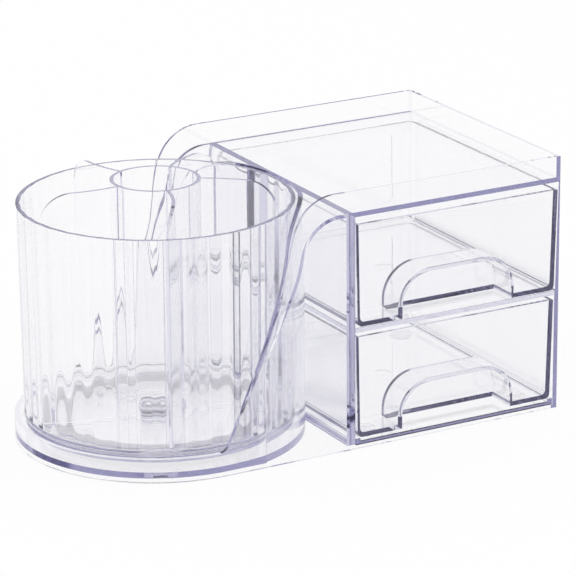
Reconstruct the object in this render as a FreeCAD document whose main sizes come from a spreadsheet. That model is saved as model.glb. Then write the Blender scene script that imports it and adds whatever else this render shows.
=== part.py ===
"""Clear cosmetics organiser: a turning brush cup beside a case with two drawers and a tray on top.

Millimetres, +Z up, drawers to the right (+X) and opening to the front (-Y).
The origin is the centre of the footprint, on the surface that the feet stand on.
"""

import FreeCAD, Part
import math
import os

# ---------------------------------------------------------------- driving sizes
SIZES = {
    # outer shell, in plan
    "body_depth": 150.0,  # front to back, and the diameter of the round end
    "case_length": 125.0,  # left wall to right end
    "shell_wall": 2.5,  # skirt, front, back and right walls
    "left_wall": 4.2,  # the case's left wall, which the well bites into
    "gallery_wall": 1.8,  # thinner walls above the tray and along the wings
    # outer shell, heights above the table
    "skirt_lift": 0.4,  # lower edge of the skirt
    "floor_underside": 2.4,  # underside of both floors
    "well_floor_thick": 3.2,
    "lip_height": 13.0,  # top of the round lip
    "case_height": 127.0,  # top of the case's deck, which is the floor of the open tray
    "gallery_rise": 11.5,  # gallery above the deck
    "deck_thick": 2.2,
    "well_radius": 72.5,
    "well_bite": 1.1,  # how far the well cuts into the case's left wall
    "well_wall": 2.6,
    "hollow_reach": 48.5,  # how far the hollow under a wing runs from the case
    # the sweep of the gallery, from the tray down to the lip
    "gallery_top_radius": 24.0,
    "gallery_level_run": 9.0,
    "gallery_knee_drop": 54.5,  # from the top of the gallery down to the knee
    "gallery_upper_slope": 77.0,
    "gallery_lower_slope": 66.0,
    # the sweep of the sheet inside it
    "sheet_top_radius": 23.5,
    "sheet_level_run": 5.0,
    "sheet_knee_drop": 31.0,
    "sheet_upper_slope": 77.0,
    "sheet_lower_slope": 64.0,
    "sheet_thick": 2.2,
    "knee_radius": 60.0,
    "toe_radius": 6.0,
    # drawer bays
    "floor_plate_thick": 1.8,
    "rail_height": 1.8,  # two rails on the floor plate carry the lower drawer
    "rail_width": 3.0,
    "shelf_thick": 2.6,
    "seam": 0.1,  # glue line between two fixed mouldings
    # drawers
    "drawer_side_gap": 0.6,
    "drawer_floor_gap": 0.4,
    "lower_headroom": 2.4,  # above the lower drawer, under the shelf
    "upper_headroom": 4.2,
    "drawer_back_gap": 2.0,
    "drawer_draft": 0.8,  # how much narrower each side is at the bottom
    "drawer_wall": 2.0,
    "drawer_floor": 2.0,
    "drawer_corner": 5.0,  # round upright back corners and back bottom edge
    "grip_width": 65.8,
    "grip_shift": 0.7,  # the grip lies this far right of the bay's middle
    "grip_height": 22.9,
    "grip_depth": 17.5,
    "grip_radius": 17.0,
    "grip_wall": 1.9,
    # turntable
    "boss_radius": 9.0,
    "boss_rise": 2.0,
    "pin_radius": 4.0,
    "pin_head_radius": 7.0,
    "pin_head_thick": 1.2,
    "pin_fit": 0.05,  # radial clearance round the pin
    "washer_thick": 1.0,
    "bearing_gap": 0.2,  # between faces that turn on each other
    "hub_drop": 0.6,
    "plate_thick": 2.8,
    "plate_gap": 3.0,  # radial room round the plate in the well
    "glide_radius": 55.0,
    "glide_width": 6.0,
    "clip_thick": 0.9,
    "clip_radius": 7.0,
    "clip_groove": 0.8,
    "clip_mouth": 5.0,
    "pin_nose": 1.6,
    # brush cup
    "cup_seat": 0.1,
    "cup_foot_gap": 2.3,  # radial room round the cup in the well
    "cup_rim_gap": 1.3,
    "cup_drop": 0.5,  # rim below the top edge of the case's left wall
    "cup_wall": 2.5,
    "cup_floor": 2.4,
    "flute_count": 36,
    "flute_depth": 0.9,
    "dome_radius": 11.0,
    "dome_room": 0.8,
    "dome_wall": 2.0,
    # divider insert
    "divider_rise": 10.5,  # above the cup's rim
    "divider_seat": 0.3,
    "tube_radius": 23.2,
    "tube_wall": 2.0,
    "vane_count": 5,
    "vane_thick": 1.8,
    "vane_sweep": 70.0,  # radius of a vane in plan
    "vane_gap": 4.2,  # between the vanes and the foot of the cup's wall
    "vane_shoulder": 16.0,
    "vane_first_angle": 43.0,
    # feet
    "foot_radius": 6.0,
    "foot_inset": 14.0,
    "foot_ring": 46.0,
}

doc = FreeCAD.newDocument("brush_holder")
sheet = doc.addObject("Spreadsheet::Sheet", "Sizes")
for row, (alias, size) in enumerate(SIZES.items(), start=1):
    sheet.set(f"A{row}", alias)
    sheet.set(f"B{row}", str(size))
    sheet.setAlias(f"B{row}", alias)
doc.recompute()


def number(expression):
    """The value of an expression over the sheet's cells, as a plain number."""
    result = sheet.evalExpression(expression)
    return float(getattr(result, "Value", result))


# ---------------------------------------------------------------- places, as expressions
HALF_DEPTH = "(Sizes.body_depth / 2)"
AXIS_TO_CASE = "(Sizes.well_radius - Sizes.well_bite)"
TOTAL_LENGTH = f"({HALF_DEPTH} + {AXIS_TO_CASE} + Sizes.case_length)"
LEFT_END = f"(-{TOTAL_LENGTH} / 2)"
RIGHT_END = f"({TOTAL_LENGTH} / 2)"
AXIS = f"({LEFT_END} + {HALF_DEPTH})"
CASE_LEFT = f"({AXIS} + {AXIS_TO_CASE})"
BAY_LEFT = f"({CASE_LEFT} + Sizes.shell_wall)"
WALL_LEFT = f"({BAY_LEFT} - Sizes.left_wall)"
BAY_RIGHT = f"({RIGHT_END} - Sizes.shell_wall)"
BAY_BACK = f"({HALF_DEPTH} - Sizes.shell_wall)"
GALLERY_TOP = "(Sizes.case_height + Sizes.gallery_rise)"
DECK_UNDERSIDE = "(Sizes.case_height - Sizes.deck_thick)"
FLOOR_TOP = "(Sizes.floor_underside + Sizes.floor_plate_thick)"
RAIL_TOP = f"({FLOOR_TOP} + Sizes.rail_height)"
DRAWER_HEIGHT = (
    f"(({DECK_UNDERSIDE} - {RAIL_TOP} - Sizes.shelf_thick - Sizes.lower_headroom"
    " - Sizes.upper_headroom) / 2 - Sizes.drawer_floor_gap)"
)
SHELF_UNDERSIDE = (
    f"({RAIL_TOP} + Sizes.drawer_floor_gap + {DRAWER_HEIGHT} + Sizes.lower_headroom)"
)
SHELF_TOP = f"({SHELF_UNDERSIDE} + Sizes.shelf_thick)"
WELL_FLOOR = "(Sizes.floor_underside + Sizes.well_floor_thick)"
BOSS_TOP = f"({WELL_FLOOR} + Sizes.boss_rise)"
WASHER_TOP = f"({BOSS_TOP} + Sizes.washer_thick)"
HUB_BOTTOM = f"({WASHER_TOP} + Sizes.bearing_gap)"
PLATE_BOTTOM = f"({HUB_BOTTOM} + Sizes.hub_drop)"
PLATE_TOP = f"({PLATE_BOTTOM} + Sizes.plate_thick)"
CUP_BOTTOM = f"({PLATE_TOP} + Sizes.cup_seat)"
CUP_FLOOR = f"({CUP_BOTTOM} + Sizes.cup_floor)"
CLIP_BOTTOM = f"({PLATE_TOP} + Sizes.bearing_gap)"
CLIP_TOP = f"({CLIP_BOTTOM} + Sizes.clip_thick)"
PIN_TOP = f"({CLIP_TOP} + Sizes.pin_nose)"
DOME_ROOM_TOP = f"({PIN_TOP} + Sizes.dome_room)"
CUP_TOP = "(Sizes.case_height - Sizes.cup_drop)"
DIVIDER_BOTTOM = f"({CUP_FLOOR} + Sizes.divider_seat)"
DIVIDER_TOP = f"({CUP_TOP} + Sizes.divider_rise)"
PLATE_RADIUS = "(Sizes.well_radius - Sizes.plate_gap)"
CUP_FOOT_RADIUS = "(Sizes.well_radius - Sizes.cup_foot_gap)"
CUP_RIM_RADIUS = "(Sizes.well_radius - Sizes.cup_rim_gap)"
VANE_REACH = f"({CUP_FOOT_RADIUS} - Sizes.cup_wall - Sizes.vane_gap)"
OVERCUT = "1"  # how far a cutting solid runs past the face that it opens


# ---------------------------------------------------------------- small building helpers
def block(name, x, y, z):
    """A box between pairs of expressions along each axis."""
    item = doc.addObject("Part::Box", name)
    for size, (low, high) in (("Length", x), ("Width", y), ("Height", z)):
        item.setExpression(size, f"({high}) - ({low})")
    for axis, (low, _) in (("x", x), ("y", y), ("z", z)):
        item.setExpression(f".Placement.Base.{axis}", low)
    return item


def post(name, radius, z, x=AXIS, y="0"):
    """An upright cylinder between two heights."""
    item = doc.addObject("Part::Cylinder", name)
    item.setExpression("Radius", radius)
    item.setExpression("Height", f"({z[1]}) - ({z[0]})")
    for axis, place in (("x", x), ("y", y), ("z", z[0])):
        item.setExpression(f".Placement.Base.{axis}", place)
    return item


def rod(name, radius, y, x, z):
    """A cylinder that lies along Y between two places."""
    item = doc.addObject("Part::Cylinder", name)
    item.Placement = FreeCAD.Placement(FreeCAD.Vector(), FreeCAD.Rotation(FreeCAD.Vector(1, 0, 0), -90))
    item.setExpression("Radius", radius)
    item.setExpression("Height", f"({y[1]}) - ({y[0]})")
    for axis, place in (("x", x), ("y", y[0]), ("z", z)):
        item.setExpression(f".Placement.Base.{axis}", place)
    return item


def fuse(name, items):
    item = doc.addObject("Part::MultiFuse", name)
    item.Shapes = items
    item.Refine = True
    return item


def common(name, items):
    item = doc.addObject("Part::MultiCommon", name)
    item.Shapes = items
    item.Refine = True
    return item


def cut(name, base, tool):
    item = doc.addObject("Part::Cut", name)
    item.Base = base
    item.Tool = tool
    item.Refine = True
    return item


def extrude_through(name, face, half_width):
    """A face in the XZ plane, carried the same way to the front and to the back."""
    outline = doc.addObject("Part::Feature", f"{name}_outline")
    outline.Shape = face
    item = doc.addObject("Part::Extrusion", name)
    item.Base = outline
    item.DirMode = "Custom"
    item.Dir = FreeCAD.Vector(0, 1, 0)
    item.Symmetric = True
    item.Solid = True
    item.setExpression("LengthFwd", f"2 * {half_width}")
    return item


def round_edges(name, item, radius, wanted):
    """Part::Fillet on the edges whose midpoint the test accepts."""
    doc.recompute()
    edges = []
    for index, edge in enumerate(item.Shape.Edges, start=1):
        if wanted(edge):
            edges.append((index, radius, radius))
    rounded = doc.addObject("Part::Fillet", name)
    rounded.Base = item
    rounded.Edges = edges
    return rounded


def middle(edge):
    return edge.valueAt((edge.FirstParameter + edge.LastParameter) / 2)


NODES = []


def finish(item, label):
    """Names a finished piece; its label is the name of its file."""
    item.Label = label
    NODES.append(item)
    return item


# ---------------------------------------------------------------- the sweep of a wing
def sweep_edges(level_run, top, top_radius, upper, knee_height, lower, knee_radius, foot, toe_radius):
    """Edges from the level top, over a round shoulder and a steep S, down to the level of the lip.

    Angles are slopes from the horizontal. The path runs towards -X from the case's left face.
    """
    start_x = number(CASE_LEFT)
    upper, lower = math.radians(upper), math.radians(lower)

    def point(x, z):
        return FreeCAD.Vector(x, 0, z)

    crown = point(start_x - level_run, top)
    centre = point(crown.x, top - top_radius)
    shoulder = point(centre.x - top_radius * math.sin(upper), centre.z + top_radius * math.cos(upper))
    half_turn = abs(upper - lower) / 2
    shoulder_mid_angle = upper / 2
    shoulder_mid = point(
        centre.x - top_radius * math.sin(shoulder_mid_angle),
        centre.z + top_radius * math.cos(shoulder_mid_angle),
    )
    knee = point(shoulder.x - (shoulder.z - knee_height) / math.tan(upper), knee_height)
    trim = knee_radius * math.tan(half_turn)
    knee_in = point(knee.x + trim * math.cos(upper), knee.z + trim * math.sin(upper))
    knee_out = point(knee.x - trim * math.cos(lower), knee.z - trim * math.sin(lower))
    bend = math.copysign(knee_radius / math.cos(half_turn) - knee_radius, lower - upper)
    mean = (upper + lower) / 2
    knee_mid = point(knee.x - bend * math.sin(mean), knee.z + bend * math.cos(mean))
    drop = knee_out.z - foot - toe_radius * (1 - math.cos(lower))
    toe_in = point(knee_out.x - drop / math.tan(lower), knee_out.z - drop)
    toe_out = point(toe_in.x - toe_radius * math.sin(lower), foot)
    toe_mid = point(
        toe_out.x + toe_radius * math.sin(lower / 2),
        foot + toe_radius * (1 - math.cos(lower / 2)),
    )
    edges = [
        Part.makeLine(point(start_x, top), crown),
        Part.Arc(crown, shoulder_mid, shoulder).toShape(),
        Part.makeLine(shoulder, knee_in),
        Part.Arc(knee_in, knee_mid, knee_out).toShape(),
        Part.makeLine(knee_out, toe_in),
        Part.Arc(toe_in, toe_mid, toe_out).toShape(),
    ]
    return edges, toe_out


def closed_face(edges, corners):
    """A face bounded by the edges and by straight lines through the corners back to their start."""
    ends = [edges[-1].Vertexes[-1].Point] + corners + [edges[0].Vertexes[0].Point]
    lines = [Part.makeLine(a, b) for a, b in zip(ends, ends[1:])]
    return Part.Face(Part.Wire(edges + lines))


def gallery_face():
    """Side outline of the whole shell: the gallery's sweep, the lip and the skirt."""
    edges, toe = sweep_edges(
        number("Sizes.gallery_level_run"),
        number(GALLERY_TOP),
        number("Sizes.gallery_top_radius"),
        number("Sizes.gallery_upper_slope"),
        number(f"{GALLERY_TOP} - Sizes.gallery_knee_drop"),
        number("Sizes.gallery_lower_slope"),
        number("Sizes.knee_radius"),
        number("Sizes.lip_height"),
        number("Sizes.toe_radius"),
    )
    far_left = number(f"{LEFT_END} - {OVERCUT}")
    right = number(RIGHT_END)
    skirt = number("Sizes.skirt_lift")
    corners = [
        FreeCAD.Vector(far_left, 0, toe.z),
        FreeCAD.Vector(far_left, 0, skirt),
        FreeCAD.Vector(right, 0, skirt),
        FreeCAD.Vector(right, 0, number(GALLERY_TOP)),
    ]
    return closed_face(edges, corners)


def sheet_sweep(offset):
    """The sheet's sweep, moved down and inwards by an offset from its upper face."""
    upper = number("Sizes.sheet_upper_slope")
    lower = number("Sizes.sheet_lower_slope")
    mean = math.radians((upper + lower) / 2)
    half_turn = math.radians((upper - lower) / 2)
    return sweep_edges(
        number("Sizes.sheet_level_run"),
        number("Sizes.case_height") - offset,
        number("Sizes.sheet_top_radius") - offset,
        upper,
        number("Sizes.case_height - Sizes.sheet_knee_drop") - offset * math.cos(mean) / math.cos(half_turn),
        lower,
        number("Sizes.knee_radius") + offset,
        number("Sizes.lip_height") - offset,
        number("Sizes.toe_radius") + offset,
    )


def open_top_face():
    """Everything above the sheets and above the left wall's edge, between the gallery walls."""
    edges, toe = sheet_sweep(0)
    above = number(f"{GALLERY_TOP} + {OVERCUT}")
    inside_right = number(f"{RIGHT_END} - Sizes.gallery_wall")
    corners = [
        FreeCAD.Vector(toe.x, 0, above),
        FreeCAD.Vector(inside_right, 0, above),
        FreeCAD.Vector(inside_right, 0, number("Sizes.case_height")),
    ]
    return closed_face(edges, corners)


def wing_hollow_face():
    """Everything under the sheets, open at the table."""
    edges, toe = sheet_sweep(number("Sizes.sheet_thick"))
    below = -number(OVERCUT)
    corners = [FreeCAD.Vector(toe.x, 0, below), FreeCAD.Vector(number(CASE_LEFT), 0, below)]
    return closed_face(edges, corners)


# ---------------------------------------------------------------- outer shell
def make_outer_shell():
    full_depth = (f"-{HALF_DEPTH}", HALF_DEPTH)
    inside_depth = (f"-{BAY_BACK}", BAY_BACK)
    gallery_half = f"({HALF_DEPTH} - Sizes.gallery_wall)"
    full_height = ("Sizes.skirt_lift", GALLERY_TOP)

    footprint = fuse(
        "shell_footprint",
        [
            post("shell_round", HALF_DEPTH, full_height),
            block("shell_straight", (AXIS, RIGHT_END), full_depth, full_height),
        ],
    )
    silhouette = extrude_through("shell_silhouette", gallery_face(), HALF_DEPTH)
    body = common("shell_body", [footprint, silhouette])

    under = ("Sizes.skirt_lift - " + OVERCUT, "Sizes.floor_underside")
    hollows = common(
        "wing_space",
        [
            extrude_through("wing_profile", wing_hollow_face(), BAY_BACK),
            block(
                "wing_limit",
                (f"{CASE_LEFT} - Sizes.hollow_reach", WALL_LEFT),
                inside_depth,
                ("-" + OVERCUT, GALLERY_TOP),
            ),
        ],
    )
    well_outside = post(
        "well_outside", "Sizes.well_radius + Sizes.well_wall", ("-2 * " + OVERCUT, GALLERY_TOP)
    )
    openings = fuse(
        "shell_openings",
        [
            extrude_through("shell_open_top", open_top_face(), gallery_half),
            post("well", "Sizes.well_radius", (WELL_FLOOR, f"{GALLERY_TOP} + {OVERCUT}")),
            block(
                "drawer_tunnel",
                (BAY_LEFT, BAY_RIGHT),
                (f"-{HALF_DEPTH} - {OVERCUT}", BAY_BACK),
                ("Sizes.floor_underside", DECK_UNDERSIDE),
            ),
            post("underside_round", f"{HALF_DEPTH} - Sizes.shell_wall", under),
            block("underside_straight", (AXIS, BAY_RIGHT), inside_depth, under),
            cut("wing_hollows", hollows, well_outside),
        ],
    )
    opened = cut("shell_opened", body, openings)
    boss = post("pin_boss", "Sizes.boss_radius", ("Sizes.floor_underside", BOSS_TOP))
    bore = post(
        "pin_bore",
        "Sizes.pin_radius + Sizes.pin_fit",
        (f"Sizes.floor_underside - {OVERCUT}", f"{BOSS_TOP} + {OVERCUT}"),
    )
    finish(cut("outer_shell_solid", fuse("shell_with_boss", [opened, boss]), bore), "outer_shell")


def make_bay_plates():
    across = (f"{BAY_LEFT} + Sizes.seam", f"{BAY_RIGHT} - Sizes.seam")
    along = (f"-{HALF_DEPTH}", f"{BAY_BACK} - Sizes.seam")
    on_floor = (f"({FLOOR_TOP} - Sizes.floor_plate_thick / 2)", RAIL_TOP)
    floor = fuse(
        "floor_plate_solid",
        [
            block("floor_plate_sheet", across, along, ("Sizes.floor_underside", FLOOR_TOP)),
            block("rail_left", (across[0], f"({across[0]} + Sizes.rail_width)"), along, on_floor),
            block("rail_right", (f"({across[1]} - Sizes.rail_width)", across[1]), along, on_floor),
        ],
    )
    shelf = block("shelf_solid", across, along, (SHELF_UNDERSIDE, SHELF_TOP))
    finish(floor, "floor_plate")
    finish(shelf, "drawer_shelf")


# ---------------------------------------------------------------- drawers
def drafted_tray(name, x, y, z, draft, corner):
    """A box whose left, right and back walls lean out towards the top, rounded at the back.

    x, y and z are pairs of expressions at the top edge; draft is how far the bottom draws in.
    """
    item = doc.addObject("Part::Wedge", name)
    item.Placement = FreeCAD.Placement(FreeCAD.Vector(), FreeCAD.Rotation(FreeCAD.Vector(1, 0, 0), 90))
    bindings = {
        "Xmin": f"{x[0]} + {draft}",
        "Xmax": f"{x[1]} - {draft}",
        "X2min": x[0],
        "X2max": x[1],
        "Zmin": f"-({y[1]} - {draft})",
        "Zmax": f"-({y[0]})",
        "Z2min": f"-({y[1]})",
        "Z2max": f"-({y[0]})",
        "Ymin": z[0],
        "Ymax": z[1],
    }
    start = {key: number(expression) for key, expression in bindings.items()}
    for key in sorted(bindings, key=lambda key: key.endswith("min")):
        setattr(item, key, start[key])
    for key, expression in bindings.items():
        item.setExpression(key, expression)
    back = number(f"{y[1]} - {draft}") - number("Sizes.drawer_wall") / 2
    high = number(z[1])

    def at_back(edge):
        spot = middle(edge)
        return spot.y > back and spot.z < high - 1e-3

    return round_edges(f"{name}_rounded", item, corner, at_back)


def arch(name, half_width, y, z, radius):
    """A block along Y with round upper corners, near the bay's middle."""
    centre = f"(({BAY_LEFT} + {BAY_RIGHT}) / 2 + Sizes.grip_shift)"
    spring_line = f"({z[1]} - {radius})"
    inner = f"({half_width} - {radius})"
    across = (f"{centre} - {half_width}", f"{centre} + {half_width}")
    pieces = [
        block(f"{name}_low", across, y, (z[0], spring_line)),
        block(f"{name}_mid", (f"{centre} - {inner}", f"{centre} + {inner}"), y, z),
        rod(f"{name}_left", radius, y, f"{centre} - {inner}", spring_line),
        rod(f"{name}_right", radius, y, f"{centre} + {inner}", spring_line),
    ]
    return common(name, [fuse(f"{name}_rounds", pieces), block(f"{name}_limit", across, y, z)])


def make_drawer(label, support):
    """One drawer, on the plate whose top face is at the height of the expression support."""
    base = f"({support} + Sizes.drawer_floor_gap)"
    top = f"({base} + {DRAWER_HEIGHT})"
    x = (f"({BAY_LEFT} + Sizes.drawer_side_gap)", f"({BAY_RIGHT} - Sizes.drawer_side_gap)")
    front = f"(-{HALF_DEPTH})"
    back = f"({BAY_BACK} - Sizes.drawer_back_gap)"
    wall = "Sizes.drawer_wall"
    inner_base = f"({base} + Sizes.drawer_floor)"
    inner_draft = f"Sizes.drawer_draft * (1 - Sizes.drawer_floor / {DRAWER_HEIGHT})"

    outside = drafted_tray(
        f"{label}_outside", x, (front, back), (base, top), "Sizes.drawer_draft", number("Sizes.drawer_corner")
    )
    inside = drafted_tray(
        f"{label}_inside",
        (f"({x[0]} + {wall})", f"({x[1]} - {wall})"),
        (f"({front} + {wall})", f"({back} - {wall})"),
        (inner_base, f"({top} + {OVERCUT} / 100)"),
        inner_draft,
        number(f"Sizes.drawer_corner - {wall}"),
    )
    half_grip = "(Sizes.grip_width / 2)"
    grip_back = f"({front} + Sizes.grip_depth)"
    hood = arch(
        f"{label}_hood",
        f"({half_grip} + Sizes.grip_wall)",
        (front, f"({grip_back} + Sizes.grip_wall)"),
        (base, f"({base} + Sizes.grip_height + Sizes.grip_wall)"),
        "(Sizes.grip_radius + Sizes.grip_wall)",
    )
    finger_room = arch(
        f"{label}_finger_room",
        half_grip,
        (f"({front} - {OVERCUT})", grip_back),
        (f"({base} - {OVERCUT})", f"({base} + Sizes.grip_height)"),
        "Sizes.grip_radius",
    )
    tray = cut(f"{label}_tray", outside, inside)
    finish(cut(f"{label}_solid", fuse(f"{label}_with_hood", [tray, hood]), finger_room), label)


# ---------------------------------------------------------------- turntable
def ring(name, outer, inner, z):
    return cut(name, post(f"{name}_outer", outer, z), post(f"{name}_inner", inner, z))


def make_turntable():
    running_bore = "(Sizes.pin_radius + Sizes.pin_fit)"
    neck = "(Sizes.pin_radius - Sizes.clip_groove)"

    head_bottom = "(Sizes.floor_underside - Sizes.pin_head_thick)"
    shank = post("pin_shank", "Sizes.pin_radius", (head_bottom, PIN_TOP))
    head = post("pin_head", "Sizes.pin_head_radius", (head_bottom, "Sizes.floor_underside"))
    groove = ring("pin_groove", running_bore, neck, (CLIP_BOTTOM, CLIP_TOP))
    finish(cut("pin_solid", fuse("pin_blank", [shank, head]), groove), "spindle_pin")

    washer = ring("washer_solid", "Sizes.boss_radius", running_bore, (BOSS_TOP, WASHER_TOP))
    finish(washer, "thrust_washer")

    half_glide = "(Sizes.glide_width / 2)"
    glide = ring(
        "glide_solid",
        f"(Sizes.glide_radius + {half_glide})",
        f"(Sizes.glide_radius - {half_glide})",
        (WELL_FLOOR, f"({PLATE_BOTTOM} - Sizes.bearing_gap)"),
    )
    finish(glide, "glide_ring")

    disc = post("plate_disc", PLATE_RADIUS, (PLATE_BOTTOM, PLATE_TOP))
    hub = post("plate_hub", "Sizes.boss_radius", (HUB_BOTTOM, PLATE_TOP))
    hub_bore = post("plate_bore", running_bore, (f"({HUB_BOTTOM} - {OVERCUT})", f"({PLATE_TOP} + {OVERCUT})"))
    finish(cut("plate_solid", fuse("plate_blank", [disc, hub]), hub_bore), "turntable_plate")

    clip_ring = ring(
        "clip_ring", "Sizes.clip_radius", f"({neck} + Sizes.pin_fit)", (CLIP_BOTTOM, CLIP_TOP)
    )
    mouth = block(
        "clip_mouth",
        (AXIS, f"{AXIS} + Sizes.clip_radius + {OVERCUT}"),
        ("-Sizes.clip_mouth / 2", "Sizes.clip_mouth / 2"),
        (CLIP_BOTTOM, CLIP_TOP),
    )
    finish(cut("clip_solid", clip_ring, mouth), "retaining_clip")


# ---------------------------------------------------------------- brush cup
def cup_radius_at(height):
    """Outer radius of the cup's leaning wall at a height."""
    low, high = number(CUP_BOTTOM), number(CUP_TOP)
    share = (height - low) / (high - low)
    foot, rim = number(CUP_FOOT_RADIUS), number(CUP_RIM_RADIUS)
    return foot + share * (rim - foot)


def fluted_outline(name, height):
    """Closed outline of the cup's inside at a height: hollow flutes that meet in ridges."""
    ridge = cup_radius_at(height) - number("Sizes.cup_wall")
    flutes = int(number("Sizes.flute_count"))
    trough = ridge + number("Sizes.flute_depth")

    def around(radius, steps):
        angle = 2 * math.pi * steps / flutes
        return FreeCAD.Vector(
            number(AXIS) + radius * math.cos(angle), radius * math.sin(angle), height
        )

    arcs = []
    for flute in range(flutes):
        start, end = around(ridge, flute), around(ridge, flute + 1)
        arcs.append(Part.Arc(start, around(trough, flute + 0.5), end).toShape())
    outline = doc.addObject("Part::Feature", name)
    outline.Shape = Part.Wire(arcs)
    return outline


def make_brush_cup():
    wall = doc.addObject("Part::Cone", "cup_outside")
    wall.setExpression("Radius1", CUP_FOOT_RADIUS)
    wall.setExpression("Radius2", CUP_RIM_RADIUS)
    wall.setExpression("Height", f"{CUP_TOP} - {CUP_BOTTOM}")
    wall.setExpression(".Placement.Base.x", AXIS)
    wall.setExpression(".Placement.Base.z", CUP_BOTTOM)

    room = doc.addObject("Part::Loft", "cup_inside")
    room.Sections = [
        fluted_outline("cup_inside_low", number(CUP_FLOOR)),
        fluted_outline("cup_inside_high", number(f"{CUP_TOP} + {OVERCUT} / 100")),
    ]
    room.Solid = True
    room.Ruled = True

    dome = post("cup_dome", "Sizes.dome_radius", (CUP_BOTTOM, f"({DOME_ROOM_TOP} + Sizes.dome_wall)"))
    dome_room = post(
        "cup_dome_room",
        "(Sizes.dome_radius - Sizes.dome_wall)",
        (f"({CUP_BOTTOM} - {OVERCUT})", DOME_ROOM_TOP),
    )
    cup = fuse("cup_with_dome", [cut("cup_hollowed", wall, room), dome])
    finish(cut("cup_solid", cup, dome_room), "brush_cup")


# ---------------------------------------------------------------- divider insert
def swirl_vane(index):
    """One curved vane: it leaves the tube square and bends clockwise towards the cup's wall."""
    z = (DIVIDER_BOTTOM, DIVIDER_TOP)
    start = "Sizes.tube_radius"
    bend_side = "-Sizes.vane_sweep"
    half = "Sizes.vane_thick / 2"
    name = f"vane_{index}"
    outer = post(f"{name}_outer", f"Sizes.vane_sweep + {half}", z, x=start, y=bend_side)
    inner = post(f"{name}_inner", f"Sizes.vane_sweep - {half}", z, x=start, y=bend_side)
    root = "(Sizes.tube_radius - Sizes.tube_wall / 2)"
    sector = block(f"{name}_sector", (root, VANE_REACH), (bend_side, "Sizes.vane_thick"), z)
    vane = common(name, [cut(f"{name}_ring", outer, inner), sector])
    vane.Placement = FreeCAD.Placement(FreeCAD.Vector(), FreeCAD.Rotation(FreeCAD.Vector(0, 0, 1), 0))
    turn = f"Sizes.vane_first_angle + {index} * 360 / Sizes.vane_count"
    vane.setExpression(".Placement.Rotation.Angle", turn)
    vane.setExpression(".Placement.Base.x", AXIS)
    return vane


def make_divider():
    z = (DIVIDER_BOTTOM, DIVIDER_TOP)
    top = number(DIVIDER_TOP)
    reach = post("vane_envelope", VANE_REACH, z)

    def top_rim(edge):
        return middle(edge).z > top - 1e-3 and edge.Length > number(VANE_REACH)

    envelope = round_edges("vane_shoulders", reach, number("Sizes.vane_shoulder"), top_rim)
    vanes = [swirl_vane(index) for index in range(int(number("Sizes.vane_count")))]
    fins = common("vanes_trimmed", [envelope, fuse("vanes_full", vanes)])
    tube = post("tube_outside", "Sizes.tube_radius", z)
    bore = post(
        "tube_inside",
        "Sizes.tube_radius - Sizes.tube_wall",
        (f"({DIVIDER_BOTTOM} - {OVERCUT})", f"({DIVIDER_TOP} + {OVERCUT})"),
    )
    finish(cut("divider_solid", fuse("divider_blank", [tube, fins]), bore), "divider_insert")


# ---------------------------------------------------------------- feet
def make_feet():
    height = ("0", "Sizes.floor_underside")
    near_left = f"({BAY_LEFT} + Sizes.foot_inset)"
    near_right = f"({BAY_RIGHT} - Sizes.foot_inset)"
    near_back = f"({BAY_BACK} - Sizes.foot_inset)"
    places = {
        "foot_case_front_left": (near_left, f"-{near_back}"),
        "foot_case_front_right": (near_right, f"-{near_back}"),
        "foot_case_back_left": (near_left, near_back),
        "foot_case_back_right": (near_right, near_back),
        "foot_round_front": (AXIS, "-Sizes.foot_ring"),
        "foot_round_back": (AXIS, "Sizes.foot_ring"),
        "foot_round_left": (f"{AXIS} - Sizes.foot_ring", "0"),
    }
    for label, (x, y) in places.items():
        finish(post(f"{label}_solid", "Sizes.foot_radius", height, x=x, y=y), label)


make_outer_shell()
make_bay_plates()
make_drawer("lower_drawer", RAIL_TOP)
make_drawer("upper_drawer", SHELF_TOP)
make_turntable()
make_brush_cup()
make_divider()
make_feet()
doc.recompute()

# ---------------------------------------------------------------- checks and export
for item in doc.Objects:
    if "Invalid" in item.State or "Error" in item.State:
        raise RuntimeError(f"{item.Name} did not recompute: {item.State}")
for node in NODES:
    if node.Shape.isNull() or not node.Shape.isValid():
        raise RuntimeError(f"{node.Label} has no valid shape")

os.makedirs("parts", exist_ok=True)
for node in NODES:
    node.Shape.exportStep(f"parts/{node.Label}.step")
    corners = node.Shape.BoundBox
    print(
        f"{node.Label:24s} solids {len(node.Shape.Solids)}  volume {node.Shape.Volume / 1000:8.2f} cm3  "
        f"x {corners.XMin:7.2f}..{corners.XMax:7.2f}  y {corners.YMin:6.2f}..{corners.YMax:6.2f}  "
        f"z {corners.ZMin:6.2f}..{corners.ZMax:6.2f}"
    )
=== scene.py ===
"""Clear brush holder: a round turning cup with a swirl divider beside a case with two drawers.

Each sub-assembly is a class with its sizes in millimetres. Its meshes are built in the part's own
frame, turned into metres when they are placed, and dressed in one of the finishes.
"""

from __future__ import annotations

import logging
import math
from collections.abc import Iterator, Sequence
from contextlib import contextmanager
from dataclasses import dataclass, replace
from enum import Enum
from functools import partial

import bmesh
import bpy
from mathutils import Matrix, Vector

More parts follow.
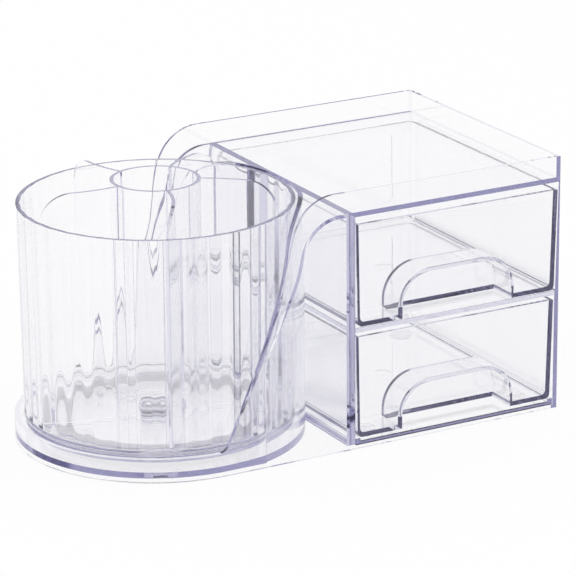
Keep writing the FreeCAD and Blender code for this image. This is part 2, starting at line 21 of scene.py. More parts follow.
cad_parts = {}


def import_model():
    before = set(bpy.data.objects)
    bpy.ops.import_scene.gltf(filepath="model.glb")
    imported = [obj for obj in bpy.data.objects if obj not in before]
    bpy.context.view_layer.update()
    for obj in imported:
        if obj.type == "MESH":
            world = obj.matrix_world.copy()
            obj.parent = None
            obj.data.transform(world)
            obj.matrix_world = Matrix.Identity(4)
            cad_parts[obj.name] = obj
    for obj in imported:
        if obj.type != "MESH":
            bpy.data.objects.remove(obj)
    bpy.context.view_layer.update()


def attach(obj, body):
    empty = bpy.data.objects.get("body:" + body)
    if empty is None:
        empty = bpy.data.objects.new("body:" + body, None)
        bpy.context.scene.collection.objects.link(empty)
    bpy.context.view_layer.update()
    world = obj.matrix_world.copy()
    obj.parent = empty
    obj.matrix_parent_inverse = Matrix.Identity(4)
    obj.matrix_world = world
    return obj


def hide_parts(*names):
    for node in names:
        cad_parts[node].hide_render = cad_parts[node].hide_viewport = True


LOG = logging.getLogger("brush_holder")
MM = 0.001
BOUNCES = 128
CLEAR_LAYERS = 48
NORMAL_WEIGHT = 80
EYE = 0.02  # radius left open on the axis of a turned piece
SPARE = 1.0  # how far a cutting solid reaches past what it cuts
Point2 = tuple[float, float]
Point3 = tuple[float, float, float]
Colour = tuple[float, float, float]


class BooleanKind(Enum):
    """How two closed meshes are combined."""

    JOIN = "UNION"
    CUT = "DIFFERENCE"
    KEEP = "INTERSECT"


class Plane(Enum):
    """The plane that an outline is drawn in before it is drawn out to a prism."""

    PLAN = "xy"
    SIDE = "xz"


# ------------------------------------------------------------------ shared sizes
@dataclass(frozen=True)
class Layout:
    """Sizes and places that several sub-assemblies share, in millimetres."""

    depth: float = 150.0
    case_length: float = 125.0
    axis_to_case: float = 71.4
    shell_wall: float = 2.5
    case_height: float = 127.0
    gallery_top: float = 138.5
    lip_height: float = 13.0
    skirt_lift: float = 0.4
    floor_underside: float = 2.4
    well_radius: float = 72.5
    well_floor: float = 5.6
    deck_underside: float = 124.8

    @property
    def half_depth(self) -> float:
        """Half the depth from front to back."""
        return self.depth / 2

    @property
    def right_end(self) -> float:
        """The outer face of the case's right wall."""
        return (self.half_depth + self.axis_to_case + self.case_length) / 2

    @property
    def axis(self) -> float:
        """X of the axis that the cup turns on."""
        return self.half_depth - self.right_end

    @property
    def case_left(self) -> float:
        """The outer face of the case's left wall."""
        return self.axis + self.axis_to_case

    @property
    def bay_left(self) -> float:
        """The left side of the drawers' bays."""
        return self.case_left + self.shell_wall

    @property
    def bay_right(self) -> float:
        """The right side of the drawers' bays, before the wall thins."""
        return self.right_end - self.shell_wall

    @property
    def bay_back(self) -> float:
        """The inner face of the case's back wall."""
        return self.half_depth - self.shell_wall


LAYOUT = Layout()
AXIS_SPOT = (LAYOUT.axis, 0.0)


# ------------------------------------------------------------------ mesh tools
@contextmanager
def editing(mesh: bpy.types.Mesh) -> Iterator[bmesh.types.BMesh]:
    """Opens a mesh for editing and writes it back at the end.

    Args:
        mesh: The mesh to edit.

    Returns:
        The editable form, for the length of a with block.
    """
    build = bmesh.new()
    build.from_mesh(mesh)
    yield build
    build.to_mesh(mesh)
    build.free()


def outward(mesh: bpy.types.Mesh) -> None:
    """Turns every face of a closed mesh outward."""
    with editing(mesh) as build:
        bmesh.ops.recalc_face_normals(build, faces=build.faces)


def linked(name: str, data: bpy.types.ID) -> bpy.types.Object:
    """Puts a new object into the scene.

    Args:
        name: Name of the object.
        data: Mesh, lamp or camera data that it holds.

    Returns:
        The object.
    """
    piece = bpy.data.objects.new(name, data)
    bpy.context.scene.collection.objects.link(piece)
    return piece


def mesh_of(
    name: str, points: Sequence[Sequence[float]], faces: Sequence[Sequence[int]]
) -> bpy.types.Object:
    """Makes a working object from points and faces.

    Args:
        name: Name of the object and its mesh.
        points: Corner places in millimetres.
        faces: Corner numbers of each face.

    Returns:
        A linked object whose normals point outward.
    """
    mesh = bpy.data.meshes.new(name)
    mesh.from_pydata([tuple(point) for point in points], [], [tuple(face) for face in faces])
    outward(mesh)
    return linked(name, mesh)


def prism(
    name: str, outline: Sequence[Point2], low: float, high: float, plane: Plane = Plane.PLAN
) -> bpy.types.Object:
    """Draws an outline out to a solid.

    Args:
        name: Name of the object.
        outline: Corners of a closed outline, without the first repeated.
        low: Where the solid starts across the outline's plane.
        high: Where it ends.
        plane: Plane of the outline.

    Returns:
        The working object.
    """
    if plane is Plane.PLAN:
        points = [(a, b, level) for level in (low, high) for a, b in outline]
    else:
        points = [(a, level, b) for level in (low, high) for a, b in outline]
    count = len(outline)
    faces: list[Sequence[int]] = [range(count), range(2 * count - 1, count - 1, -1)]
    faces += [(i, (i + 1) % count, count + (i + 1) % count, count + i) for i in range(count)]
    return mesh_of(name, points, faces)


def box(name: str, x: Point2, y: Point2, z: Point2) -> bpy.types.Object:
    """Makes a working box between pairs of places along each axis."""
    return prism(name, [(x[0], y[0]), (x[1], y[0]), (x[1], y[1]), (x[0], y[1])], z[0], z[1])


def circle(
    centre: Point2, radius: float, steps: int = 360, start: float = 0.0, sweep: float = 360.0
) -> list[Point2]:
    """Points on a circle or an arc.

    Args:
        centre: Centre of the circle.
        radius: Its radius.
        steps: Number of chords.
        start: First angle in degrees.
        sweep: Angle swept, in degrees; a full turn leaves out the repeated last point.

    Returns:
        The points in order.
    """
    count = steps if abs(sweep) >= 360 else steps + 1
    angles = [math.radians(start + sweep * i / steps) for i in range(count)]
    return [(centre[0] + radius * math.cos(a), centre[1] + radius * math.sin(a)) for a in angles]


def post(
    name: str, radius: float, z: Point2, centre: Point2 = AXIS_SPOT, steps: int = 360
) -> bpy.types.Object:
    """Makes an upright round post between two heights."""
    return prism(name, circle(centre, radius, steps), z[0], z[1])


def ring_section(inner: float, outer: float, z: Point2) -> list[Point2]:
    """The section of a flat ring between two heights, as (radius, height) corners."""
    return [(inner, z[0]), (outer, z[0]), (outer, z[1]), (inner, z[1])]


def revolve(
    name: str, profile: Sequence[Point2], steps: int = 192, centre: Point2 = AXIS_SPOT
) -> bpy.types.Object:
    """Turns a closed profile about an upright axis.

    Args:
        name: Name of the object.
        profile: Closed outline as (radius, height), with no point on the axis.
        steps: Number of steps round the axis.
        centre: Place of the axis.

    Returns:
        The working object.
    """
    count = len(profile)
    turns = [math.tau * s / steps for s in range(steps)]
    points = [
        (centre[0] + r * math.cos(turn), centre[1] + r * math.sin(turn), z)
        for turn in turns
        for r, z in profile
    ]
    faces = []
    for s in range(steps):
        near, far = s * count, (s + 1) % steps * count
        for i in range(count):
            after = (i + 1) % count
            faces.append((near + i, near + after, far + after, far + i))
    return mesh_of(name, points, faces)


def bake(piece: bpy.types.Object) -> None:
    """Turns a piece's modifiers into its plain mesh.

    Args:
        piece: The piece that changes.
    """
    bpy.context.view_layer.update()
    evaluated = piece.evaluated_get(bpy.context.evaluated_depsgraph_get())
    mesh = bpy.data.meshes.new_from_object(evaluated)
    mesh.name = piece.name
    piece.modifiers.clear()
    piece.data = mesh


def combine(
    base: bpy.types.Object, kind: BooleanKind, *tools: bpy.types.Object
) -> bpy.types.Object:
    """Combines a piece with working solids, which are used up.

    Args:
        base: The piece that changes.
        kind: How it is combined.
        tools: The other solids.

    Returns:
        The base piece.
    """
    for tool in tools:
        step = base.modifiers.new(tool.name, "BOOLEAN")
        step.operation = kind.value
        step.solver = "EXACT"
        step.object = tool
    bake(base)
    for tool in tools:
        bpy.data.objects.remove(tool)
    return base


def clean_up(piece: bpy.types.Object, merge: float = 0.02, flat_angle: float = 0.4) -> None:
    """Merges close corners and drops edges that lie within flat faces.

    Args:
        piece: The piece that changes.
        merge: Corners closer than this become one.
        flat_angle: Faces that meet at less than this, in degrees, become one.
    """
    with editing(piece.data) as build:
        bmesh.ops.remove_doubles(build, verts=build.verts, dist=merge)
        bmesh.ops.dissolve_degenerate(build, edges=build.edges, dist=merge)
        limit = math.radians(flat_angle)
        bmesh.ops.dissolve_limit(build, angle_limit=limit, verts=build.verts, edges=build.edges)


def round_edges(
    piece: bpy.types.Object, width: float, segments: int, angle: float, **options: object
) -> None:
    """Rounds the sharp edges of a piece.

    Args:
        piece: The piece that changes.
        width: Width of the rounding.
        segments: Steps across it.
        angle: Edges sharper than this, in degrees, are rounded.
        options: Further settings of the rounding.
    """
    rounding = piece.modifiers.new("edge_rounding", "BEVEL")
    rounding.width = width
    rounding.segments = segments
    rounding.limit_method = "ANGLE"
    rounding.angle_limit = math.radians(angle)
    for key, value in options.items():
        setattr(rounding, key, value)
    bake(piece)


def soften(piece: bpy.types.Object, width: float, angle: float = 32.0) -> None:
    """Rounds the sharp edges of a moulding and gives it smooth normals.

    Args:
        piece: The piece, still in millimetres.
        width: Width of the rounding; with 0 the edges stay sharp.
        angle: Edges sharper than this, in degrees, count as sharp.
    """
    if width > 0:
        round_edges(piece, width, 2, angle, use_clamp_overlap=False, miter_outer="MITER_ARC")
    piece.data.shade_smooth()
    weighting = piece.modifiers.new("flat_face_normals", "WEIGHTED_NORMAL")
    weighting.keep_sharp = True
    weighting.weight = NORMAL_WEIGHT
    if width <= 0:
        limit = math.radians(angle)
        with editing(piece.data) as build:
            for edge in build.edges:
                edge.smooth = len(edge.link_faces) == 2 and edge.calc_face_angle(0) < limit
    bake(piece)


def place(piece: bpy.types.Object, finish: Finish, body: str, *nodes: str) -> None:
    """Turns a finished piece into metres, dresses it and hangs it on its body.

    Args:
        piece: The piece, in millimetres.
        finish: Its finish.
        body: The body it moves with.
        nodes: The nodes of the frame that it stands for.
    """
    piece.data.transform(Matrix.Scale(MM, 4))
    piece.data.materials.clear()
    piece.data.materials.append(finish.material())
    for polygon in piece.data.polygons:
        polygon.material_index = 0
    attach(piece, body)
    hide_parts(*nodes)
    LOG.info("placed %s on %s: %d faces", piece.name, body, len(piece.data.polygons))


# ------------------------------------------------------------------ node trees
class Wiring:
    """A short way to write the nodes of a tree."""

    def __init__(self, tree: bpy.types.NodeTree) -> None:
        """Starts on a tree."""
        self.tree = tree

    @classmethod
    def on(cls, owner: bpy.types.Material | bpy.types.World) -> Wiring:
        """Starts on the emptied tree of a material or a world.

        Args:
            owner: What the tree belongs to.

        Returns:
            The wiring of its tree.
        """
        owner.use_nodes = True
        owner.node_tree.nodes.clear()
        return cls(owner.node_tree)

    def feed(self, target: bpy.types.NodeSocket, value: object) -> None:
        """Links a socket to an input, or sets the input to a plain value.

        Args:
            target: The input.
            value: A socket or a plain value.
        """
        if isinstance(value, bpy.types.NodeSocket):
            self.tree.links.new(value, target)
        else:
            target.default_value = value

    def node(
        self, kind: str, settings: dict[str, object] | None = None, **inputs: object
    ) -> bpy.types.Node:
        """Adds a node.

        Args:
            kind: Type name of the node.
            settings: Attributes to set on it.
            inputs: Values or sockets by input name, with underscores for spaces.

        Returns:
            The node.
        """
        node = self.tree.nodes.new(kind)
        for key, value in (settings or {}).items():
            setattr(node, key, value)
        for key, value in inputs.items():
            self.feed(node.inputs[key.replace("_", " ")], value)
        return node

    def ordered(
        self, kind: str, settings: dict[str, object], *terms: object
    ) -> bpy.types.NodeSocket:
        """Adds a node and fills its inputs in their order.

        Args:
            kind: Type name of the node.
            settings: Attributes to set on it.
            terms: Values or sockets for the inputs.

        Returns:
            The node's first output.
        """
        node = self.node(kind, settings)
        for target, term in zip(node.inputs, terms):
            self.feed(target, term)
        return node.outputs[0]

    def sum(self, operation: str, *terms: object) -> bpy.types.NodeSocket:
        """Adds a maths node on numbers or sockets and gives its result."""
        return self.ordered("ShaderNodeMath", {"operation": operation}, *terms)

    def mix(self, factor: object, first: object, second: object) -> bpy.types.NodeSocket:
        """Mixes two shaders by a factor."""
        return self.ordered("ShaderNodeMixShader", {}, factor, first, second)

    def blend(self, factor: object, first: Colour, second: Colour) -> bpy.types.NodeSocket:
        """Blends two colours by a factor.

        Args:
            factor: Share of the second colour.
            first: The first colour.
            second: The second colour.

        Returns:
            The blended colour.
        """
        ends = {"A": (*first, 1), "B": (*second, 1)}
        node = self.node("ShaderNodeMix", {"data_type": "RGBA"}, Factor=factor, **ends)
        return node.outputs["Result"]

    def noise(self, size: float, detail: float, distortion: float = 0.0) -> bpy.types.NodeSocket:
        """Adds cloudy noise in the piece's own space.

        Args:
            size: Size of its largest patches, in metres.
            detail: How many finer layers it has.
            distortion: How much it is stirred.

        Returns:
            The noise's level.
        """
        spot = self.node("ShaderNodeTexCoord").outputs["Object"]
        noise = self.node(
            "ShaderNodeTexNoise", Vector=spot, Scale=1 / size, Detail=detail, Distortion=distortion
        )
        return noise.outputs["Fac"]


class Weave(Wiring):
    """A geometry node tree with named inputs."""

    def __init__(self, name: str, inputs: dict[str, float | int]) -> None:
        """Starts a tree.

        Args:
            name: Name of the tree.
            inputs: Named sizes with their values; whole numbers become integer inputs.
        """
        super().__init__(bpy.data.node_groups.new(name, "GeometryNodeTree"))
        face = self.tree.interface
        face.new_socket("Geometry", in_out="INPUT", socket_type="NodeSocketGeometry")
        face.new_socket("Geometry", in_out="OUTPUT", socket_type="NodeSocketGeometry")
        self.values = dict(inputs)
        for key, value in inputs.items():
            kind = "NodeSocketInt" if isinstance(value, int) else "NodeSocketFloat"
            face.new_socket(key, in_out="INPUT", socket_type=kind)
        face.new_socket("Finish", in_out="INPUT", socket_type="NodeSocketMaterial")
        self.entry = self.tree.nodes.new("NodeGroupInput")
        self.exit = self.tree.nodes.new("NodeGroupOutput")

    def named(self, key: str) -> bpy.types.NodeSocket:
        """The output socket of a named input."""
        return self.entry.outputs[key]

    def scatter(self, points: bpy.types.NodeSocket, turn: bpy.types.NodeSocket) -> None:
        """Ends the tree with its geometry on every point.

        Args:
            points: The points.
            turn: Turn of each copy about the upright axis, in radians.
        """
        facing = self.node("ShaderNodeCombineXYZ", Z=turn).outputs[0]
        copies = self.node(
            "GeometryNodeInstanceOnPoints",
            Points=points,
            Instance=self.named("Geometry"),
            Rotation=facing,
        )
        self.finish(copies.outputs[0])

    def finish(self, geometry: bpy.types.NodeSocket) -> None:
        """Ends the tree with real geometry that has its finish set.

        Args:
            geometry: The geometry so far.
        """
        real = self.node("GeometryNodeRealizeInstances", Geometry=geometry).outputs[0]
        dressed = self.node(
            "GeometryNodeSetMaterial", Geometry=real, Material=self.named("Finish")
        )
        self.feed(self.exit.inputs["Geometry"], dressed.outputs[0])

    def apply(self, piece: bpy.types.Object, finish: Finish) -> None:
        """Runs the tree on a piece and keeps the result as its plain mesh.

        Args:
            piece: The piece that changes.
            finish: The finish that the tree sets.
        """
        modifier = piece.modifiers.new(self.tree.name, "NODES")
        modifier.node_group = self.tree
        for item in self.tree.interface.items_tree:
            if item.item_type != "SOCKET" or item.in_out != "INPUT":
                continue
            if item.name in self.values:
                modifier[item.identifier] = self.values[item.name]
            elif item.name == "Finish":
                modifier[item.identifier] = finish.material()
        bake(piece)


# ------------------------------------------------------------------ finishes
class Finish:
    """A surface finish. Subclasses build the nodes; each finish makes its material once."""

    name: str
    slot: str

    def material(self) -> bpy.types.Material:
        """The material of this finish, made on first use.

        Returns:
            The material.
        """
        material = bpy.data.materials.get(self.name)
        if material is None:
            material = bpy.data.materials.new(self.name)
            self.build(Wiring.on(material))
        return material

    def build(self, wiring: Wiring) -> None:
        """Adds the finish's nodes to an empty tree."""
        raise NotImplementedError


@dataclass(frozen=True)
class ClearPlastic(Finish):
    """Clear moulded plastic with a faint violet body, flow ripples and fine handling haze."""

    name: str
    slot: str
    body_colour: Colour = (0.30, 0.28, 0.58)
    body_density: float = 11.0
    surface_colour: Colour = (1.0, 1.0, 1.0)
    shade_colour: Colour = (0.95, 0.94, 0.96)
    refraction: float = 1.49
    polish: float = 0.015
    haze: float = 0.05
    haze_range: Point2 = (0.45, 0.8)
    ripple_size: float = 0.018
    ripple_height: float = 0.00003
    ripple_detail: float = 1.5
    ripple_stir: float = 0.6
    smear_spread: float = 1.7
    smear_detail: float = 4.0
    grain_size: float = 0.0012
    grain_height: float = 0.0000006
    grain_detail: float = 3.0

    def build(self, wiring: Wiring) -> None:
        """Adds the finish's nodes to an empty tree.

        Args:
            wiring: The wiring of the material's tree.
        """
        ripple = wiring.noise(self.ripple_size, self.ripple_detail, self.ripple_stir)
        grain = wiring.noise(self.grain_size, self.grain_detail)
        smear = wiring.noise(self.ripple_size * self.smear_spread, self.smear_detail)
        waves = wiring.node(
            "ShaderNodeBump", Strength=1.0, Distance=self.ripple_height, Height=ripple
        ).outputs["Normal"]
        pores = wiring.node(
            "ShaderNodeBump", Strength=1.0, Distance=self.grain_height, Height=grain, Normal=waves
        )
        wiped = wiring.node(
            "ShaderNodeMapRange",
            Value=smear,
            From_Min=self.haze_range[0],
            From_Max=self.haze_range[1],
            To_Min=self.polish,
            To_Max=self.haze,
        )
        plastic = wiring.node(
            "ShaderNodeBsdfPrincipled",
            Base_Color=(*self.surface_colour, 1),
            Transmission_Weight=1.0,
            IOR=self.refraction,
            Roughness=wiped.outputs["Result"],
            Normal=pores.outputs["Normal"],
        )
        shadow = wiring.node("ShaderNodeLightPath").outputs["Is Shadow Ray"]
        light = wiring.node("ShaderNodeBsdfTransparent", Color=(*self.shade_colour, 1))
        tint = wiring.node(
            "ShaderNodeVolumeAbsorption", Color=(*self.body_colour, 1), Density=self.body_density
        )
        wiring.node(
            "ShaderNodeOutputMaterial",
            Surface=wiring.mix(shadow, plastic.outputs["BSDF"], light.outputs["BSDF"]),
            Volume=tint.outputs["Volume"],
        )


@dataclass(frozen=True)
class SolidPlastic(Finish):
    """Opaque moulded plastic with mould grain and rubbed patches."""

    name: str
    slot: str
    colour: Colour = (0.82, 0.82, 0.84)
    rubbed_colour: Colour = (0.72, 0.72, 0.75)
    rubbed_spread: float = 12.0
    rubbed_detail: float = 5.0
    roughness: float = 0.35
    sheen_range: Point2 = (0.8, 1.3)
    refraction: float = 1.48
    grain_size: float = 0.0008
    grain_height: float = 0.00002
    grain_strength: float = 0.6
    grain_detail: float = 4.0

    def build(self, wiring: Wiring) -> None:
        """Adds the finish's nodes to an empty tree.

        Args:
            wiring: The wiring of the material's tree.
        """
        grain = wiring.noise(self.grain_size, self.grain_detail)
        rubbed = wiring.noise(self.grain_size * self.rubbed_spread, self.rubbed_detail)
        sheen = wiring.node(
            "ShaderNodeMapRange",
            Value=rubbed,
            To_Min=self.roughness * self.sheen_range[0],
            To_Max=self.roughness * self.sheen_range[1],
        )
        pores = wiring.node(
            "ShaderNodeBump", Strength=self.grain_strength, Distance=self.grain_height, Height=grain
        )
        plastic = wiring.node(
            "ShaderNodeBsdfPrincipled",
            Base_Color=wiring.blend(rubbed, self.colour, self.rubbed_colour),
            IOR=self.refraction,
            Roughness=sheen.outputs["Result"],
            Normal=pores.outputs["Normal"],
        )
        wiring.node("ShaderNodeOutputMaterial", Surface=plastic.outputs["BSDF"])


CASE_PLASTIC = ClearPlastic("case_clear_plastic", "clear_case")
SHELF_PLASTIC = ClearPlastic("shelf_clear_plastic", "clear_case", body_density=2.5)
DRAWER_PLASTIC = ClearPlastic(
    "drawer_clear_plastic", "clear_drawer", body_colour=(0.28, 0.27, 0.50), body_density=13.0
)
CUP_PLASTIC = ClearPlastic("cup_clear_plastic", "clear_cup", ripple_size=0.026, body_density=7.5)
DIVIDER_PLASTIC = ClearPlastic(
    "divider_clear_plastic", "clear_divider", ripple_size=0.022, body_density=5.0
)
TURNTABLE_PLASTIC = ClearPlastic(
    "turntable_clear_plastic", "clear_turntable", haze=0.08, body_density=5.0
)
GLIDE_PLASTIC = SolidPlastic("glide_white_plastic", "white_glide")
FOOT_RUBBER = ClearPlastic(
    "foot_clear_rubber",
    "clear_rubber",
    refraction=1.42,
    polish=0.22,
    haze=0.38,
    grain_height=0.000004,
    body_density=12.0,
)


# ------------------------------------------------------------------ the case
@dataclass(frozen=True)
class Sweep:
    """The side outline of a wing: over a round shoulder, down a steep S and out to the lip."""

    level_run: float
    top: float
    top_radius: float
    knee_height: float
    lower_slope: float
    upper_slope: float = 77.0
    knee_radius: float = 60.0
    foot: float = LAYOUT.lip_height
    toe_radius: float = 6.0
    crown_steps: int = 56
    bend_steps: int = 16

    def inset(self, offset: float) -> Sweep:
        """The same sweep, moved down and inwards from its upper face.

        Args:
            offset: How far it moves.

        Returns:
            The moved sweep.
        """
        mean = math.radians((self.upper_slope + self.lower_slope) / 2)
        half = math.radians((self.upper_slope - self.lower_slope) / 2)
        return replace(
            self,
            top=self.top - offset,
            top_radius=self.top_radius - offset,
            knee_height=self.knee_height - offset * math.cos(mean) / math.cos(half),
            knee_radius=self.knee_radius + offset,
            foot=self.foot - offset,
            toe_radius=self.toe_radius + offset,
        )

    @staticmethod
    def bend(start: Point2, radius: float, first: float, last: float, steps: int) -> list[Point2]:
        """An arc that leads a path on from its last point.

        Args:
            start: Where the arc starts, as (x, z).
            radius: Its radius; negative when the path bends the other way.
            first: Slope of the path at the start, in radians below level.
            last: Slope at the end.
            steps: Number of chords.

        Returns:
            The arc's points in order.
        """
        angles = [first + (last - first) * i / steps for i in range(steps + 1)]
        return [
            (
                start[0] - radius * (math.sin(a) - math.sin(first)),
                start[1] + radius * (math.cos(a) - math.cos(first)),
            )
            for a in angles
        ]

    def points(self) -> list[Point2]:
        """Corners of the outline from the case's left face towards the lip.

        Returns:
            The corners as (x, z).
        """
        upper, lower = math.radians(self.upper_slope), math.radians(self.lower_slope)
        start = LAYOUT.case_left
        path: list[Point2] = [(start, self.top)]
        crown = (start - self.level_run, self.top)
        path += self.bend(crown, self.top_radius, 0.0, upper, self.crown_steps)
        x, z = path[-1]
        trim = self.knee_radius * math.tan(abs(upper - lower) / 2)
        x -= (z - self.knee_height) / math.tan(upper)
        knee = (x + trim * math.cos(upper), self.knee_height + trim * math.sin(upper))
        turn = math.copysign(self.knee_radius, lower - upper)
        path += self.bend(knee, turn, upper, lower, self.bend_steps)
        x, z = path[-1]
        drop = z - self.foot - self.toe_radius * (1 - math.cos(lower))
        toe = (x - drop / math.tan(lower), z - drop)
        path += self.bend(toe, -self.toe_radius, lower, 0.0, self.bend_steps)
        return path


@dataclass
class Case:
    """The outer shell with its wings and well, the floor plate and the shelf between the drawers.

    The gallery's sweep is the upper edge of the side walls and wings. The sheet's sweep is the
    upper face of the plate between them, which goes on from the deck.
    """

    gallery: Sweep = Sweep(
        level_run=9.0,
        top=LAYOUT.gallery_top,
        top_radius=24.0,
        knee_height=84.0,
        lower_slope=66.0,
    )
    sheet: Sweep = Sweep(
        level_run=5.0,
        top=LAYOUT.case_height,
        top_radius=23.5,
        knee_height=96.0,
        lower_slope=64.0,
    )
    stadium_steps: int = 240
    boss_steps: int = 64
    bore_steps: int = 48
    gallery_wall: float = 1.8
    well_wall: float = 2.6
    hollow_reach: float = 48.5
    left_wall: float = 4.2
    wall_thins: float = 1.6
    thinning_start: Point2 = (0.25, 0.5)
    sheet_thick: float = 2.2
    boss_radius: float = 9.0
    boss_top: float = 7.6
    bore_radius: float = 4.05
    floor_top: float = 4.2
    rail_top: float = 6.0
    rail_width: float = 3.0
    shelf: Point2 = (63.2, 65.8)
    seam: float = 0.1
    shelf_round: float = 0.3
    floor_round: float = 0.24

    def stadium(self, radius: float, right: float) -> list[Point2]:
        """A plan outline: round on the left about the cup's axis, square on the right."""
        arc = circle(AXIS_SPOT, radius, self.stadium_steps, 90, 180)
        return arc + [(right, -radius), (right, radius)]

    def along(self, name: str, outline: Sequence[Point2], reach: float) -> bpy.types.Object:
        """A solid with a side outline, as deep to the front as to the back."""
        return prism(name, outline, -reach, reach, Plane.SIDE)

    def silhouette(self) -> bpy.types.Object:
        """Everything under the gallery's sweep, as the shell is seen from the side.

        Returns:
            The working solid.
        """
        lay, path = LAYOUT, self.gallery.points()
        left = lay.axis - lay.half_depth - SPARE
        right = lay.right_end + SPARE
        low = lay.skirt_lift
        path += [(left, path[-1][1]), (left, low), (right, low), (right, lay.gallery_top)]
        return self.along("silhouette", path, lay.half_depth + SPARE)

    def open_top(self) -> bpy.types.Object:
        """The room above the deck and the sheet, between the side walls.

        Returns:
            The working solid.
        """
        lay, path = LAYOUT, self.sheet.points()
        high, right = lay.gallery_top + SPARE, lay.right_end - self.gallery_wall
        path += [(path[-1][0], high), (right, high), (right, lay.case_height)]
        return self.along("open_top", path, lay.half_depth - self.gallery_wall)

    def wing_hollow(self) -> bpy.types.Object:
        """The hollow under the sheet, between the well and the case's left wall.

        Returns:
            The working solid.
        """
        lay = LAYOUT
        under = self.sheet.inset(self.sheet_thick).points()
        under += [(under[-1][0], -SPARE), (lay.case_left, -SPARE)]
        hollow = self.along("hollow", under, lay.bay_back)
        across = (lay.case_left - self.hollow_reach, lay.bay_left - self.left_wall)
        limit = box("hollow_limit", across, (-lay.depth, lay.depth), (-SPARE, lay.gallery_top))
        combine(hollow, BooleanKind.KEEP, limit)
        height = (-2 * SPARE, lay.gallery_top + SPARE)
        outside = post("well_outside", lay.well_radius + self.well_wall, height)
        return combine(hollow, BooleanKind.CUT, outside)

    def shell(self) -> bpy.types.Object:
        """Builds the one-piece outer shell.

        Returns:
            The piece.
        """
        lay = LAYOUT
        half, back = lay.half_depth, lay.bay_back
        below, above = lay.skirt_lift - SPARE, lay.gallery_top + SPARE
        body = prism("outer_shell_moulding", self.stadium(half, lay.right_end), below, above)
        combine(body, BooleanKind.KEEP, self.silhouette())
        combine(
            body,
            BooleanKind.CUT,
            self.open_top(),
            post("well", lay.well_radius, (lay.well_floor, above + SPARE)),
            prism("tunnel", self.bay_section(), -half - SPARE, back, Plane.SIDE),
            prism("underside", self.stadium(back, lay.bay_right), below, lay.floor_underside),
            self.wing_hollow(),
        )
        height = (lay.floor_underside, self.boss_top)
        boss = post("boss", self.boss_radius, height, steps=self.boss_steps)
        combine(body, BooleanKind.JOIN, boss)
        through = (SPARE, self.boss_top + SPARE)
        bore = post("bore", self.bore_radius, through, steps=self.bore_steps)
        combine(body, BooleanKind.CUT, bore)
        clean_up(body)
        soften(body, 0)
        return body

    def bay_section(self) -> list[Point2]:
        """The bays' section: its right wall thins towards the deck.

        Returns:
            The corners as (x, z).
        """
        lay, shelf = LAYOUT, self.shelf[1]
        share, rise = self.thinning_start
        return [
            (lay.bay_left, lay.floor_underside),
            (lay.bay_right, lay.floor_underside),
            (lay.bay_right, shelf),
            (lay.bay_right + self.wall_thins * share, shelf + rise),
            (lay.bay_right + self.wall_thins, lay.deck_underside),
            (lay.bay_left, lay.deck_underside),
        ]

    def floor_plate(self) -> bpy.types.Object:
        """Builds the floor plate with its two rails.

        Returns:
            The piece.
        """
        lay, rail = LAYOUT, self.rail_width
        left, right = lay.bay_left + self.seam, lay.bay_right - self.seam
        section = [
            (left, lay.floor_underside),
            (right, lay.floor_underside),
            (right, self.rail_top),
            (right - rail, self.rail_top),
            (right - rail, self.floor_top),
            (left + rail, self.floor_top),
            (left + rail, self.rail_top),
            (left, self.rail_top),
        ]
        back = lay.bay_back - self.seam
        plate = prism("floor_plate_moulding", section, -lay.half_depth, back, Plane.SIDE)
        soften(plate, self.floor_round)
        return plate

    def shelf_plate(self) -> bpy.types.Object:
        """Builds the plate that carries the upper drawer.

        Returns:
            The piece.
        """
        lay = LAYOUT
        across = (lay.bay_left + self.seam, lay.bay_right - self.seam)
        along = (-lay.half_depth, lay.bay_back - self.seam)
        plate = box("drawer_shelf_moulding", across, along, self.shelf)
        soften(plate, self.shelf_round)
        return plate

    def build(self) -> None:
        """Builds and places the case's fixed mouldings."""
        place(self.shell(), CASE_PLASTIC, "housing", "outer_shell")
        place(self.floor_plate(), CASE_PLASTIC, "housing", "floor_plate")
        place(self.shelf_plate(), SHELF_PLASTIC, "housing", "drawer_shelf")


